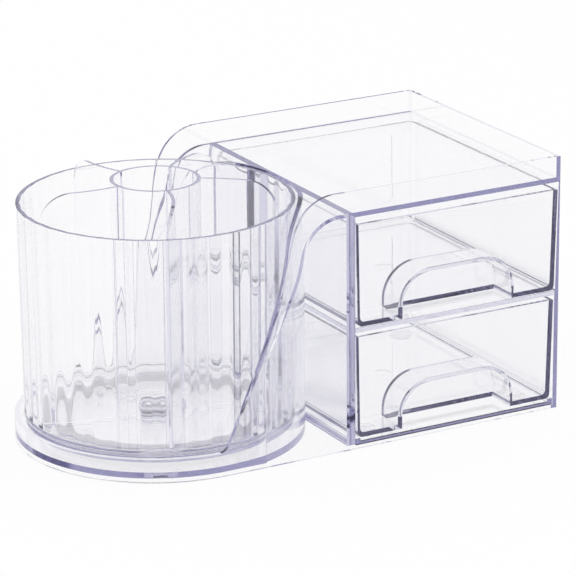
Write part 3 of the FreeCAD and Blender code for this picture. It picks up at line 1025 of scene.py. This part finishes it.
# ------------------------------------------------------------------ drawers
@dataclass
class Drawer:
    """One drawer with a hooded finger recess under its front edge."""

    node: str
    body: str
    base: float
    height: float = 54.4
    side_gap: float = 0.6
    wider: float = 0.0
    back_gap: float = 2.0
    draft: float = 0.9
    right_draft: float = 1.5
    wall: float = 2.0
    floor: float = 2.0
    corner: float = 5.0
    corner_steps: int = 12
    bottom_steps: int = 10
    side_round: float = 2.6
    grip_width: float = 65.8
    grip_shift: float = 0.7
    grip_height: float = 22.9
    grip_depth: float = 17.5
    grip_radius: float = 17.0
    grip_wall: float = 1.9
    grip_steps: int = 24
    hood_round: float = 1.3
    hood_angle: float = 50.0
    hood_steps: int = 4
    panel_inset: float = 12.8
    panel_z: Point2 = (10.3, 51.0)
    panel_radius: float = 4.5
    panel_step: float = 0.45
    panel_steps: int = 8
    panel_cutter: float = 1.5
    gate_radius: float = 4.5
    gate_steps: int = 48
    gate_z: Point2 = (-0.5, 0.25)
    over: float = 0.01

    def tub(
        self, name: str, x: Point2, y: Point2, z: Point2, draft: float, corner: float
    ) -> bpy.types.Object:
        """A solid that leans out towards its top, with round edges at the back and bottom.

        Args:
            name: Name of the working solid.
            x: Left and right ends of the top edge.
            y: Front and back ends of the top edge.
            z: Bottom and top.
            draft: How far the bottom draws in at the left and back.
            corner: Radius of the upright back edges and the back bottom edge.

        Returns:
            The working solid.
        """
        turns = [math.pi / 2 * i / self.bottom_steps for i in range(self.bottom_steps + 1)]
        levels = [z[0] + corner * (1 - math.cos(turn)) for turn in turns] + [z[1]]
        points: list[Point3] = []
        for level in levels:
            rise = level - z[0]
            lean = draft * (z[1] - level) / (z[1] - z[0])
            side = self.round_inset(self.side_round, rise)
            left = x[0] + side + lean
            right = x[1] - side - lean * self.right_draft / self.draft
            back = y[1] - lean - self.round_inset(corner, rise)
            outline = [(left, y[0]), (right, y[0])]
            for middle, start in ((right - corner, 0), (left + corner, 90)):
                outline += circle((middle, back - corner), corner, self.corner_steps, start, 90)
            points += [(*spot, level) for spot in outline]
        ring = len(points) // len(levels)
        faces: list[Sequence[int]] = [range(ring), range(len(points) - ring, len(points))]
        for low in range(0, len(points) - ring, ring):
            for i in range(ring):
                after = low + (i + 1) % ring
                faces.append((low + i, after, after + ring, low + i + ring))
        return mesh_of(name, points, faces)

    @staticmethod
    def round_inset(radius: float, rise: float) -> float:
        """How far a rounded bottom edge lies in from its wall.

        Args:
            radius: Radius of the edge.
            rise: Height above the bottom.

        Returns:
            The distance from the wall.
        """
        if rise >= radius:
            return 0.0
        return radius - math.sqrt(max(0.0, radius**2 - (radius - rise) ** 2))

    def arch(
        self, name: str, half_width: float, y: Point2, z: Point2, radius: float
    ) -> bpy.types.Object:
        """A block from front to back with round upper corners, near the bay's middle.

        Args:
            name: Name of the working solid.
            half_width: Half its width.
            y: Front and back.
            z: Bottom and top.
            radius: Radius of the upper corners.

        Returns:
            The working solid.
        """
        middle = (LAYOUT.bay_left + LAYOUT.bay_right) / 2 + self.grip_shift
        left, right, spring = middle - half_width, middle + half_width, z[1] - radius
        outline = [(left, z[0]), (right, z[0])]
        outline += circle((right - radius, spring), radius, self.grip_steps, 0, 90)
        outline += circle((left + radius, spring), radius, self.grip_steps, 90, 90)
        return prism(name, outline, y[0], y[1], Plane.SIDE)

    def panel(self, x: Point2, inner_back: float) -> bpy.types.Object:
        """The shallow round-cornered panel sunk in the back wall's inner face.

        Args:
            x: Left and right sides of the drawer.
            inner_back: The wall's inner face at the top edge.

        Returns:
            The working solid, which leans as the wall does.
        """
        r = self.panel_radius
        left, right = x[0] + self.panel_inset + r, x[1] - self.panel_inset - r
        low, high = self.base + self.panel_z[0] + r, self.base + self.panel_z[1] - r
        outline: list[Point2] = []
        for turn, centre in enumerate(((right, low), (right, high), (left, high), (left, low))):
            outline += circle(centre, r, self.panel_steps, 90 * turn - 90, 90)
        front, back = inner_back - self.panel_cutter, inner_back + self.panel_step
        panel = prism("back_panel", outline, front, back, Plane.SIDE)
        for point in panel.data.vertices:
            point.co.y -= self.draft * (self.base + self.height - point.co.z) / self.height
        return panel

    def gate(self, middle: float) -> bpy.types.Object:
        """The moulding gate's shallow dimple under the floor's middle."""
        z = (self.base + self.gate_z[0], self.base + self.gate_z[1])
        return post("gate_dimple", self.gate_radius, z, (middle, 0.0), self.gate_steps)

    def hood(self, front: float) -> bpy.types.Object:
        """The hood over the finger recess, as a full block with round edges.

        Args:
            front: The drawer's front face.

        Returns:
            The working solid.
        """
        wall = self.grip_wall
        hood = self.arch(
            "grip_hood",
            self.grip_width / 2 + wall,
            (front, front + self.grip_depth + wall),
            (self.base, self.base + self.grip_height + wall),
            self.grip_radius + wall,
        )
        round_edges(hood, self.hood_round, self.hood_steps, self.hood_angle)
        return hood

    def build(self) -> None:
        """Builds and places the drawer."""
        lay, wall = LAYOUT, self.wall
        z = (self.base, self.base + self.height)
        x = (lay.bay_left + self.side_gap, lay.bay_right - self.side_gap + self.wider)
        y = (-lay.half_depth, lay.bay_back - self.back_gap)
        tray = self.tub(f"{self.node}_moulding", x, y, z, self.draft, self.corner)
        inside = self.tub(
            "drawer_inside",
            (x[0] + wall, x[1] - wall),
            (y[0] + wall, y[1] - wall),
            (z[0] + self.floor, z[1] + self.over),
            self.draft * (1 - self.floor / self.height),
            self.corner - wall,
        )
        combine(tray, BooleanKind.CUT, inside)
        hood = self.hood(y[0])
        room = self.arch(
            "finger_room",
            self.grip_width / 2,
            (y[0] - SPARE, y[0] + self.grip_depth),
            (z[0] - SPARE, z[0] + self.grip_height),
            self.grip_radius,
        )
        combine(tray, BooleanKind.JOIN, hood)
        panel = self.panel((x[0], x[1] - self.wider), y[1] - wall)
        combine(tray, BooleanKind.CUT, room, panel, self.gate((x[0] + x[1]) / 2))
        clean_up(tray)
        soften(tray, 0)
        place(tray, DRAWER_PLASTIC, self.body, self.node)


# ------------------------------------------------------------------ turntable
@dataclass
class Turntable:
    """The pin, washer, glide ring and plate that the cup turns on, and the clip that holds them."""

    pin_radius: float = 4.0
    head_radius: float = 7.0
    head: Point2 = (1.2, 2.35)
    pin_top: float = 14.9
    groove: Point2 = (12.4, 13.3)
    groove_depth: float = 0.8
    fit: float = 0.05
    boss_radius: float = 9.0
    washer: Point2 = (7.65, 8.6)
    glide_radius: float = 55.0
    glide_width: float = 6.0
    glide: Point2 = (5.65, 9.2)
    plate_radius: float = 69.5
    plate: Point2 = (9.4, 12.2)
    plate_nose: float = 1.2
    nose_steps: int = 5
    hub_bottom: float = 8.8
    clip_radius: float = 7.0
    clip_mouth: float = 5.0
    clip_steps: tuple[int, int] = (48, 32)
    clip_round: float = 0.12
    edge_round: float = 0.25
    pin_steps: int = 64

    def turned(
        self, name: str, profile: Sequence[Point2], steps: int = 192
    ) -> bpy.types.Object:
        """A turned moulding with rounded edges.

        Args:
            name: Name of the piece.
            profile: Its section as (radius, height).
            steps: Number of steps round the axis.

        Returns:
            The piece.
        """
        piece = revolve(name, profile, steps)
        soften(piece, self.edge_round)
        return piece

    def pin(self) -> bpy.types.Object:
        """The pin with its flat head and the clip's groove.

        Returns:
            The piece.
        """
        pin, neck = self.pin_radius, self.pin_radius - self.groove_depth
        shaft = [(EYE, self.head[0]), (self.head_radius, self.head[0])]
        shaft += [(self.head_radius, self.head[1]), (pin, self.head[1]), (pin, self.groove[0])]
        shaft += [(neck, self.groove[0]), (neck, self.groove[1]), (pin, self.groove[1])]
        shaft += [(pin, self.pin_top), (EYE, self.pin_top)]
        return self.turned("spindle_pin_moulding", shaft, self.pin_steps)

    def table(self) -> bpy.types.Object:
        """The plate under the cup, with a hub and a round nose.

        Returns:
            The piece.
        """
        bore, nose, steps = self.pin_radius + self.fit, self.plate_nose, self.nose_steps
        low, high = self.plate
        section = [(bore, self.hub_bottom), (self.boss_radius, self.hub_bottom)]
        section.append((self.boss_radius, low))
        section += circle((self.plate_radius - nose, low + nose), nose, steps, 270, 90)
        section += circle((self.plate_radius - nose, high - nose), nose, steps, 0, 90)
        section.append((bore, high))
        table = revolve("turntable_plate_moulding", section)
        soften(table, 0)
        return table

    def clip(self) -> bpy.types.Object:
        """The flat spring clip in the pin's groove, open on one side.

        Returns:
            The piece.
        """
        neck = self.pin_radius - self.groove_depth + self.fit
        gap_out = math.degrees(math.asin(self.clip_mouth / 2 / self.clip_radius))
        gap_in = math.degrees(math.asin(self.clip_mouth / 2 / neck))
        outer, inner = self.clip_steps
        outline = circle(AXIS_SPOT, self.clip_radius, outer, gap_out, 360 - 2 * gap_out)
        outline += circle(AXIS_SPOT, neck, inner, 360 - gap_in, 2 * gap_in - 360)
        clip = prism("retaining_clip_moulding", outline, *self.groove)
        soften(clip, self.clip_round)
        return clip

    def build(self) -> None:
        """Builds and places every piece of the turntable."""
        place(self.pin(), TURNTABLE_PLASTIC, "housing", "spindle_pin")
        washer = ring_section(self.pin_radius + self.fit, self.boss_radius, self.washer)
        washer_piece = self.turned("thrust_washer_moulding", washer, self.pin_steps)
        place(washer_piece, GLIDE_PLASTIC, "housing", "thrust_washer")
        half = self.glide_width / 2
        glide = ring_section(self.glide_radius - half, self.glide_radius + half, self.glide)
        place(self.turned("glide_ring_moulding", glide), GLIDE_PLASTIC, "housing", "glide_ring")
        place(self.table(), TURNTABLE_PLASTIC, "cup", "turntable_plate")
        place(self.clip(), GLIDE_PLASTIC, "housing", "retaining_clip")


# ------------------------------------------------------------------ brush cup
@dataclass
class BrushCup:
    """The round cup, fluted inside, with a dome over the pin."""

    bottom: float = 12.3
    top: float = 126.5
    floor_top: float = 14.7
    foot_radius: float = 70.2
    rim_radius: float = 71.2
    wall: float = 2.5
    flutes: int = 36
    steps_per_flute: int = 12
    flute_depth: float = 0.45
    dome_radius: float = 11.0
    dome_room_radius: float = 9.0
    dome_room_top: float = 15.7
    dome_top: float = 17.7
    dome_round: float = 1.0
    room_round: float = 0.8
    room_edge: float = 0.3
    foot_round: float = 1.6
    floor_round: float = 1.2
    rim_round: float = 0.3
    under_ring: float = 40.0
    floor_rings: Point2 = (52.0, 34.0)
    relief: tuple[Point2, ...] = (
        (61.0, 0.0),
        (62.2, 1.3),
        (62.8, 1.6),
        (66.4, 1.6),
        (67.0, 1.3),
        (67.4, 0.0),
    )
    outer_rings: int = 8
    inner_rings: int = 12
    corner_steps: int = 4
    fade_steps: int = 6
    merge: float = 0.005
    sharp_angle: float = 40.0

    def outer_radius(self, height: float) -> float:
        """Outer radius of the leaning wall at a height."""
        share = (height - self.bottom) / (self.top - self.bottom)
        return self.foot_radius + share * (self.rim_radius - self.foot_radius)

    def profile(self) -> list[Point3]:
        """Half section of the cup, from the axis out and back in.

        Returns:
            Its corners as (radius, height, share of the flutes).
        """
        path: list[Point3] = [(0.0, self.dome_room_top, 0.0)]

        def corner(x: float, z: float, r: float, start: float, sweep: float, share: float) -> None:
            """Adds an arc to the path."""
            arc = circle((x, z), r, self.corner_steps, start, sweep)
            path.extend((*spot, share) for spot in arc)

        r, edge = self.room_round, self.room_edge
        corner(self.dome_room_radius - r, self.dome_room_top - r, r, 90, -90, 0)
        corner(self.dome_room_radius + edge, self.bottom + edge, edge, 180, 90, 0)
        path.append((self.under_ring, self.bottom, 0.0))
        path.extend((x, self.bottom + rise, 0.0) for x, rise in self.relief)
        r = self.foot_round
        corner(self.foot_radius - r, self.bottom + r, r, 270, 90, 0)
        for i in range(1, self.outer_rings):
            height = self.bottom + (self.top - self.bottom) * i / self.outer_rings
            path.append((self.outer_radius(height), height, 0.0))
        r = self.rim_round
        corner(self.rim_radius - r, self.top - r, r, 0, 90, 0)
        corner(self.rim_radius - self.wall + r, self.top - r, r, 90, 90, 1)
        r = self.floor_round
        for i in range(1, self.inner_rings):
            height = self.top + (self.floor_top + r - self.top) * i / self.inner_rings
            path.append((self.outer_radius(height) - self.wall, height, 1.0))
        foot = self.outer_radius(self.floor_top) - self.wall
        fade = circle((foot - r, self.floor_top + r), r, self.fade_steps, 0, -90)
        path.extend((x, z, 1.0 - i / self.fade_steps) for i, (x, z) in enumerate(fade))
        path.extend((x, self.floor_top, 0.0) for x in self.floor_rings)
        r = self.room_round
        corner(self.dome_radius + r, self.floor_top + r, r, 270, -90, 0)
        r = self.dome_round
        corner(self.dome_radius - r, self.dome_top - r, r, 0, 90, 0)
        path.append((0.0, self.dome_top, 0.0))
        return path

    def tree(self) -> Weave:
        """The rule of the cup: its section runs round the axis, and flutes swell the inside.

        Returns:
            The tree.
        """
        weave = Weave(
            "fluted_cup",
            {
                "Axis X": LAYOUT.axis,
                "Flutes": self.flutes,
                "Steps per Flute": self.steps_per_flute,
                "Flute Depth": self.flute_depth,
            },
        )
        add, times = partial(weave.sum, "ADD"), partial(weave.sum, "MULTIPLY")
        flutes = weave.named("Flutes")
        steps = times(flutes, weave.named("Steps per Flute"))
        round_path = weave.node(
            "GeometryNodeCurvePrimitiveCircle", Resolution=steps, Radius=1.0
        ).outputs["Curve"]
        section = weave.node("GeometryNodeMeshToCurve", Mesh=weave.named("Geometry"))
        ring = weave.node(
            "GeometryNodeCurveToMesh", Curve=round_path, Profile_Curve=section.outputs["Curve"]
        )
        where = weave.node("GeometryNodeInputPosition").outputs[0]
        along, across, deep = weave.node("ShaderNodeSeparateXYZ", Vector=where).outputs
        square = add(weave.sum("POWER", along, 2.0), weave.sum("POWER", across, 2.0))
        reach = weave.sum("SQRT", square)
        angle = weave.sum("ARCTAN2", across, along)
        turns = times(weave.sum("DIVIDE", angle, math.tau), flutes)
        phase = weave.sum("SUBTRACT", times(weave.sum("FRACT", turns), 2.0), 1.0)
        swell = times(add(weave.sum("COSINE", times(phase, math.pi)), 1.0), 0.5)
        share = weave.node(
            "GeometryNodeInputNamedAttribute", {"data_type": "FLOAT"}, Name="flute_share"
        ).outputs[0]
        depth = times(times(swell, weave.named("Flute Depth")), share)
        radius = add(weave.sum("SUBTRACT", reach, 1.0), depth)
        spot = weave.node(
            "ShaderNodeCombineXYZ",
            X=add(times(radius, weave.sum("COSINE", angle)), weave.named("Axis X")),
            Y=times(radius, weave.sum("SINE", angle)),
            Z=times(deep, -1.0),
        ).outputs[0]
        moved = weave.node("GeometryNodeSetPosition", Geometry=ring.outputs[0], Position=spot)
        closed = weave.node(
            "GeometryNodeMergeByDistance", Geometry=moved.outputs[0], Distance=self.merge
        )
        weave.finish(closed.outputs[0])
        return weave

    def build(self) -> None:
        """Builds and places the cup."""
        path = self.profile()
        mesh = bpy.data.meshes.new("brush_cup_section")
        edges = [(i, i + 1) for i in range(len(path) - 1)]
        mesh.from_pydata([(r, z, 0.0) for r, z, _ in path], edges, [])
        share = mesh.attributes.new("flute_share", "FLOAT", "POINT")
        share.data.foreach_set("value", [s for _, _, s in path])
        cup = linked("brush_cup_moulding", mesh)
        self.tree().apply(cup, CUP_PLASTIC)
        outward(cup.data)
        soften(cup, 0, self.sharp_angle)
        place(cup, CUP_PLASTIC, "cup", "brush_cup")


# ------------------------------------------------------------------ divider
@dataclass
class SwirlDivider:
    """A tube with curved vanes that part the cup into five places for brushes."""

    bottom: float = 15.0
    top: float = 137.0
    tube_radius: float = 23.2
    tube_wall: float = 2.0
    tube_steps: int = 280
    vanes: int = 5
    vane_thick: float = 1.8
    vane_sweep: float = 70.0
    vane_steps: int = 56
    root: float = 1.0
    nose_steps: int = 5
    nose_turn: float = 17.0
    reach: float = 63.5
    search_step: float = 0.0005
    shoulder: float = 16.0
    first_angle: float = 43.0
    merge: float = 0.004

    def on_arc(self, angle: float, offset: float) -> Point2:
        """A place on a vane's arc, or beside it.

        Args:
            angle: Angle along the arc, in radians.
            offset: Distance from the arc, outwards.

        Returns:
            The place in plan.
        """
        radius = self.vane_sweep + offset
        rise = radius * math.cos(angle) - self.vane_sweep
        return (self.tube_radius + radius * math.sin(angle), rise)

    def stations(self) -> list[Point2]:
        """Where a vane is cut across: even steps, then closer ones round its nose.

        Returns:
            Pairs of an angle on the arc and half the thickness there.
        """
        half = self.vane_thick / 2
        first = -self.root / self.vane_sweep
        last = first
        while math.hypot(*self.on_arc(last, 0)) < self.reach:
            last += self.search_step
        stop = last - half / self.vane_sweep
        count = self.vane_steps
        result = [(first + (stop - first) * i / count, half) for i in range(count + 1)]
        for i in range(1, self.nose_steps + 1):
            turn = math.radians(self.nose_turn * i)
            result.append((stop + (last - stop) * math.sin(turn), half * math.cos(turn)))
        return result

    def vane(self) -> bpy.types.Object:
        """One vane, drawn about the origin with its root on the tube.

        Returns:
            The piece, which the tree then repeats.
        """
        points: list[Point3] = []
        for angle, half in self.stations():
            distance = math.hypot(*self.on_arc(angle, 0))
            run = max(0.0, distance - (self.reach - self.shoulder))
            top = self.top - self.shoulder + math.sqrt(max(0.0, self.shoulder**2 - run**2))
            left, right = self.on_arc(angle, -half), self.on_arc(angle, half)
            points += [(*left, self.bottom), (*left, top), (*right, top), (*right, self.bottom)]
        last = len(points) - 4
        faces: list[Sequence[int]] = [range(4), range(last, last + 4)]
        for a in range(0, last, 4):
            faces += [(a + i, a + (i + 1) % 4, a + 4 + (i + 1) % 4, a + 4 + i) for i in range(4)]
        return mesh_of("divider_insert_moulding", points, faces)

    def build(self) -> None:
        """Builds and places the divider."""
        insert = self.vane()
        first = math.radians(self.first_angle)
        sizes = {"Axis X": LAYOUT.axis, "Vanes": self.vanes, "First Angle": first}
        weave = Weave("vane_swirl", sizes)
        together = (0.0, 0.0, 0.0)
        line = weave.node("GeometryNodeMeshLine", Count=weave.named("Vanes"), Offset=together)
        axis_spot = weave.node("ShaderNodeCombineXYZ", X=weave.named("Axis X")).outputs[0]
        centred = weave.node(
            "GeometryNodeSetPosition", Geometry=line.outputs[0], Position=axis_spot
        )
        index = weave.node("GeometryNodeInputIndex").outputs[0]
        pitch = weave.sum("DIVIDE", math.tau, weave.named("Vanes"))
        turn = weave.sum("ADD", weave.sum("MULTIPLY", index, pitch), weave.named("First Angle"))
        weave.scatter(centred.outputs[0], turn)
        weave.apply(insert, DIVIDER_PLASTIC)
        low, high, steps = self.bottom, self.top, self.tube_steps
        tube = post("tube", self.tube_radius, (low, high), steps=steps)
        combine(insert, BooleanKind.JOIN, tube)
        through = (low - SPARE, high + SPARE)
        bore = post("tube_bore", self.tube_radius - self.tube_wall, through, steps=steps)
        combine(insert, BooleanKind.CUT, bore)
        clean_up(insert, self.merge)
        soften(insert, 0)
        place(insert, DIVIDER_PLASTIC, "divider", "divider_insert")


# ------------------------------------------------------------------ feet
@dataclass
class Feet:
    """Seven soft round pads under the floors."""

    radius: float = 6.0
    height: float = 2.35
    inset: float = 14.0
    ring: float = 46.0
    dish: Point2 = (0.3, 0.25)
    dish_rim: Point2 = (2.2, 1.5)
    sole_round: float = 0.5
    crown_round: float = 0.3
    crown_inset: float = 0.05
    sole_steps: int = 5
    crown_steps: int = 4
    steps: int = 48
    turn: float = 0.35
    sharp_angle: float = 50.0

    def places(self) -> dict[str, Point2]:
        """Where each pad stands, by the name of its node.

        Returns:
            The places.
        """
        lay = LAYOUT
        left, right = lay.bay_left + self.inset, lay.bay_right - self.inset
        back = lay.bay_back - self.inset
        return {
            "foot_case_front_left": (left, -back),
            "foot_case_front_right": (right, -back),
            "foot_case_back_left": (left, back),
            "foot_case_back_right": (right, back),
            "foot_round_front": (lay.axis, -self.ring),
            "foot_round_back": (lay.axis, self.ring),
            "foot_round_left": (lay.axis - self.ring, 0.0),
        }

    def pad(self) -> bpy.types.Object:
        """One pad about the origin, dished a little underneath with a soft edge.

        Returns:
            The piece, which the tree then repeats.
        """
        r, h, sole, crown = self.radius, self.height, self.sole_round, self.crown_round
        profile: list[Point2] = [(EYE, self.dish[0]), (r - self.dish_rim[0], self.dish[1])]
        profile.append((r - self.dish_rim[1], 0.0))
        profile += circle((r - sole, sole), sole, self.sole_steps, 270, 90)
        middle = (r - self.crown_inset - crown, h - crown)
        profile += circle(middle, crown, self.crown_steps, 0, 90)
        profile.append((EYE, h))
        return revolve("foot_pads_moulding", profile, self.steps, (0.0, 0.0))

    def build(self) -> None:
        """Builds the pads on a set of points and places them as one piece."""
        pads = self.pad()
        spots = self.places()
        holder = bpy.data.meshes.new("foot_places")
        holder.from_pydata([(x, y, 0.0) for x, y in spots.values()], [], [])
        anchor = linked("foot_places", holder)
        weave = Weave("foot_scatter", {"Turn": self.turn})
        points = weave.node("GeometryNodeObjectInfo", Object=anchor)
        index = weave.node("GeometryNodeInputIndex").outputs[0]
        turn = weave.sum("MULTIPLY", index, weave.named("Turn"))
        weave.scatter(points.outputs["Geometry"], turn)
        weave.apply(pads, FOOT_RUBBER)
        bpy.data.objects.remove(anchor)
        soften(pads, 0, self.sharp_angle)
        place(pads, FOOT_RUBBER, "housing", *spots)


# ------------------------------------------------------------------ studio and camera
@dataclass(frozen=True)
class Lamp:
    """A square soft lamp, with sizes and places in metres."""

    name: str
    spot: Point3
    size: float
    power: float
    aim: Point3 = (0.0, 0.0, 0.06)

    def build(self) -> None:
        """Adds the lamp, which lights the part but isn't mirrored in it."""
        data = bpy.data.lights.new(self.name, "AREA")
        data.size = self.size
        data.energy = self.power
        lamp = linked(self.name, data)
        lamp.location = self.spot
        towards = Vector(self.aim) - Vector(self.spot)
        lamp.rotation_euler = towards.to_track_quat("-Z", "Y").to_euler()
        lamp.visible_glossy = False
        lamp.visible_transmission = False


@dataclass
class Studio:
    """A white floor and surround, and soft lamps at a plain level.

    Straight above, the surround is dark to rays that the part mirrors or bends, so that its edges
    read darker than its faces.
    """

    floor_half: float = 6000.0
    floor_thick: float = 20.0
    floor_colour: Colour = (0.9, 0.9, 0.9)
    surround: float = 1.0
    ambient: float = 0.55
    floor_shade: float = 0.08
    white: Colour = (1.0, 1.0, 1.0)
    dark_above: Point2 = (0.62, 0.85)
    dark_colour: Colour = (0.07, 0.06, 0.11)
    lamps: tuple[Lamp, ...] = (
        Lamp("key_lamp", (-0.9, -0.8, 1.5), 1.0, 14),
        Lamp("fill_lamp", (1.3, -0.5, 1.1), 1.2, 7),
        Lamp("back_lamp", (0.2, 1.4, 1.2), 1.2, 8),
    )

    def seen_directly(self, wiring: Wiring) -> bpy.types.NodeSocket:
        """A factor of 1 for rays from the camera and through or off clear surfaces.

        Args:
            wiring: The wiring of the tree that needs it.

        Returns:
            The factor.
        """
        rays = wiring.node("ShaderNodeLightPath").outputs
        first = wiring.sum("MAXIMUM", rays["Is Camera Ray"], rays["Is Glossy Ray"])
        return wiring.sum("MAXIMUM", first, rays["Is Transmission Ray"])

    def floor(self) -> None:
        """Builds the floor, which reads white and keeps the soft shadow."""
        across = (-self.floor_half, self.floor_half)
        floor = box("studio_floor", across, across, (-self.floor_thick, 0.0))
        floor.data.transform(Matrix.Scale(MM, 4))
        material = bpy.data.materials.new("studio_white")
        wiring = Wiring.on(material)
        matt = wiring.node("ShaderNodeBsdfDiffuse", Color=(*self.floor_colour, 1))
        glow = wiring.node("ShaderNodeEmission", Strength=self.surround)
        share = wiring.sum("MULTIPLY", self.seen_directly(wiring), 1 - self.floor_shade)
        surface = wiring.mix(share, matt.outputs[0], glow.outputs[0])
        wiring.node("ShaderNodeOutputMaterial", Surface=surface)
        floor.data.materials.append(material)

    def world(self) -> None:
        """Sets a world that reads white and lights softly."""
        world = bpy.data.worlds.new("studio_surround")
        wiring = Wiring.on(world)
        towards = wiring.node("ShaderNodeTexCoord").outputs["Generated"]
        height = wiring.node("ShaderNodeSeparateXYZ", Vector=towards).outputs["Z"]
        low, high = self.dark_above
        above = wiring.node("ShaderNodeMapRange", Value=height, From_Min=low, From_Max=high)
        camera = wiring.node("ShaderNodeLightPath").outputs["Is Camera Ray"]
        unseen = wiring.sum("SUBTRACT", 1.0, camera)
        dimmed = wiring.sum("MULTIPLY", above.outputs["Result"], unseen)
        sky = wiring.blend(dimmed, self.white, self.dark_colour)
        soft = wiring.node(
            "ShaderNodeBackground", Color=(*self.white, 1), Strength=self.ambient
        )
        clear = wiring.node("ShaderNodeBackground", Color=sky, Strength=self.surround)
        surface = wiring.mix(self.seen_directly(wiring), soft.outputs[0], clear.outputs[0])
        wiring.node("ShaderNodeOutputWorld", Surface=surface)
        bpy.context.scene.world = world

    def build(self) -> None:
        """Builds the floor, the world and the lamps."""
        self.floor()
        self.world()
        for lamp in self.lamps:
            lamp.build()


@dataclass
class ViewPoint:
    """The camera: a long lens, a little above the part and to its left."""

    target: Point3 = (10.7, 0.0, 65.0)
    azimuth: float = -29.0
    elevation: float = 18.56
    roll: float = -0.43
    distance: float = 1859.7
    slide: Point2 = (-4.63, -1.12)
    focal_pixels: float = 3554.0
    picture_pixels: float = 576.0
    sensor: float = 36.0
    clip: Point2 = (0.05, 50.0)

    def build(self) -> None:
        """Makes the camera and gives it to the scene."""
        az, el, roll = (math.radians(v) for v in (self.azimuth, self.elevation, self.roll))
        back = Vector((math.sin(az) * math.cos(el), -math.cos(az) * math.cos(el), math.sin(el)))
        right = Vector((0, 0, 1)).cross(back).normalized()
        up = back.cross(right)
        across = right * math.cos(roll) + up * math.sin(roll)
        upward = up * math.cos(roll) - right * math.sin(roll)
        spot = Vector(self.target) + back * self.distance
        spot -= across * self.slide[0] + upward * self.slide[1]
        data = bpy.data.cameras.new("view_camera")
        data.sensor_fit = "HORIZONTAL"
        data.sensor_width = self.sensor
        data.lens = self.sensor * self.focal_pixels / self.picture_pixels
        data.clip_start, data.clip_end = self.clip
        camera = linked("view_camera", data)
        turned = Matrix((across, upward, back)).transposed().to_4x4()
        camera.matrix_world = Matrix.Translation(spot * MM) @ turned
        bpy.context.scene.camera = camera


def main() -> None:
    """Builds every sub-assembly in order and logs the face count of each placed piece."""
    logging.basicConfig(level=logging.INFO, format="%(name)s: %(message)s")
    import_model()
    scene = bpy.context.scene
    scene.view_settings.view_transform = "Standard"
    scene.cycles.max_bounces = BOUNCES
    scene.cycles.transmission_bounces = BOUNCES
    scene.cycles.glossy_bounces = BOUNCES
    scene.cycles.transparent_max_bounces = CLEAR_LAYERS
    ViewPoint().build()
    Studio().build()
    Case().build()
    Drawer("upper_drawer", "upper_drawer_body", 66.2, wider=1.6).build()
    Drawer("lower_drawer", "lower_drawer_body", 6.4).build()
    Turntable().build()
    BrushCup().build()
    SwirlDivider().build()
    Feet().build()


if __name__ == "__main__":
    main()
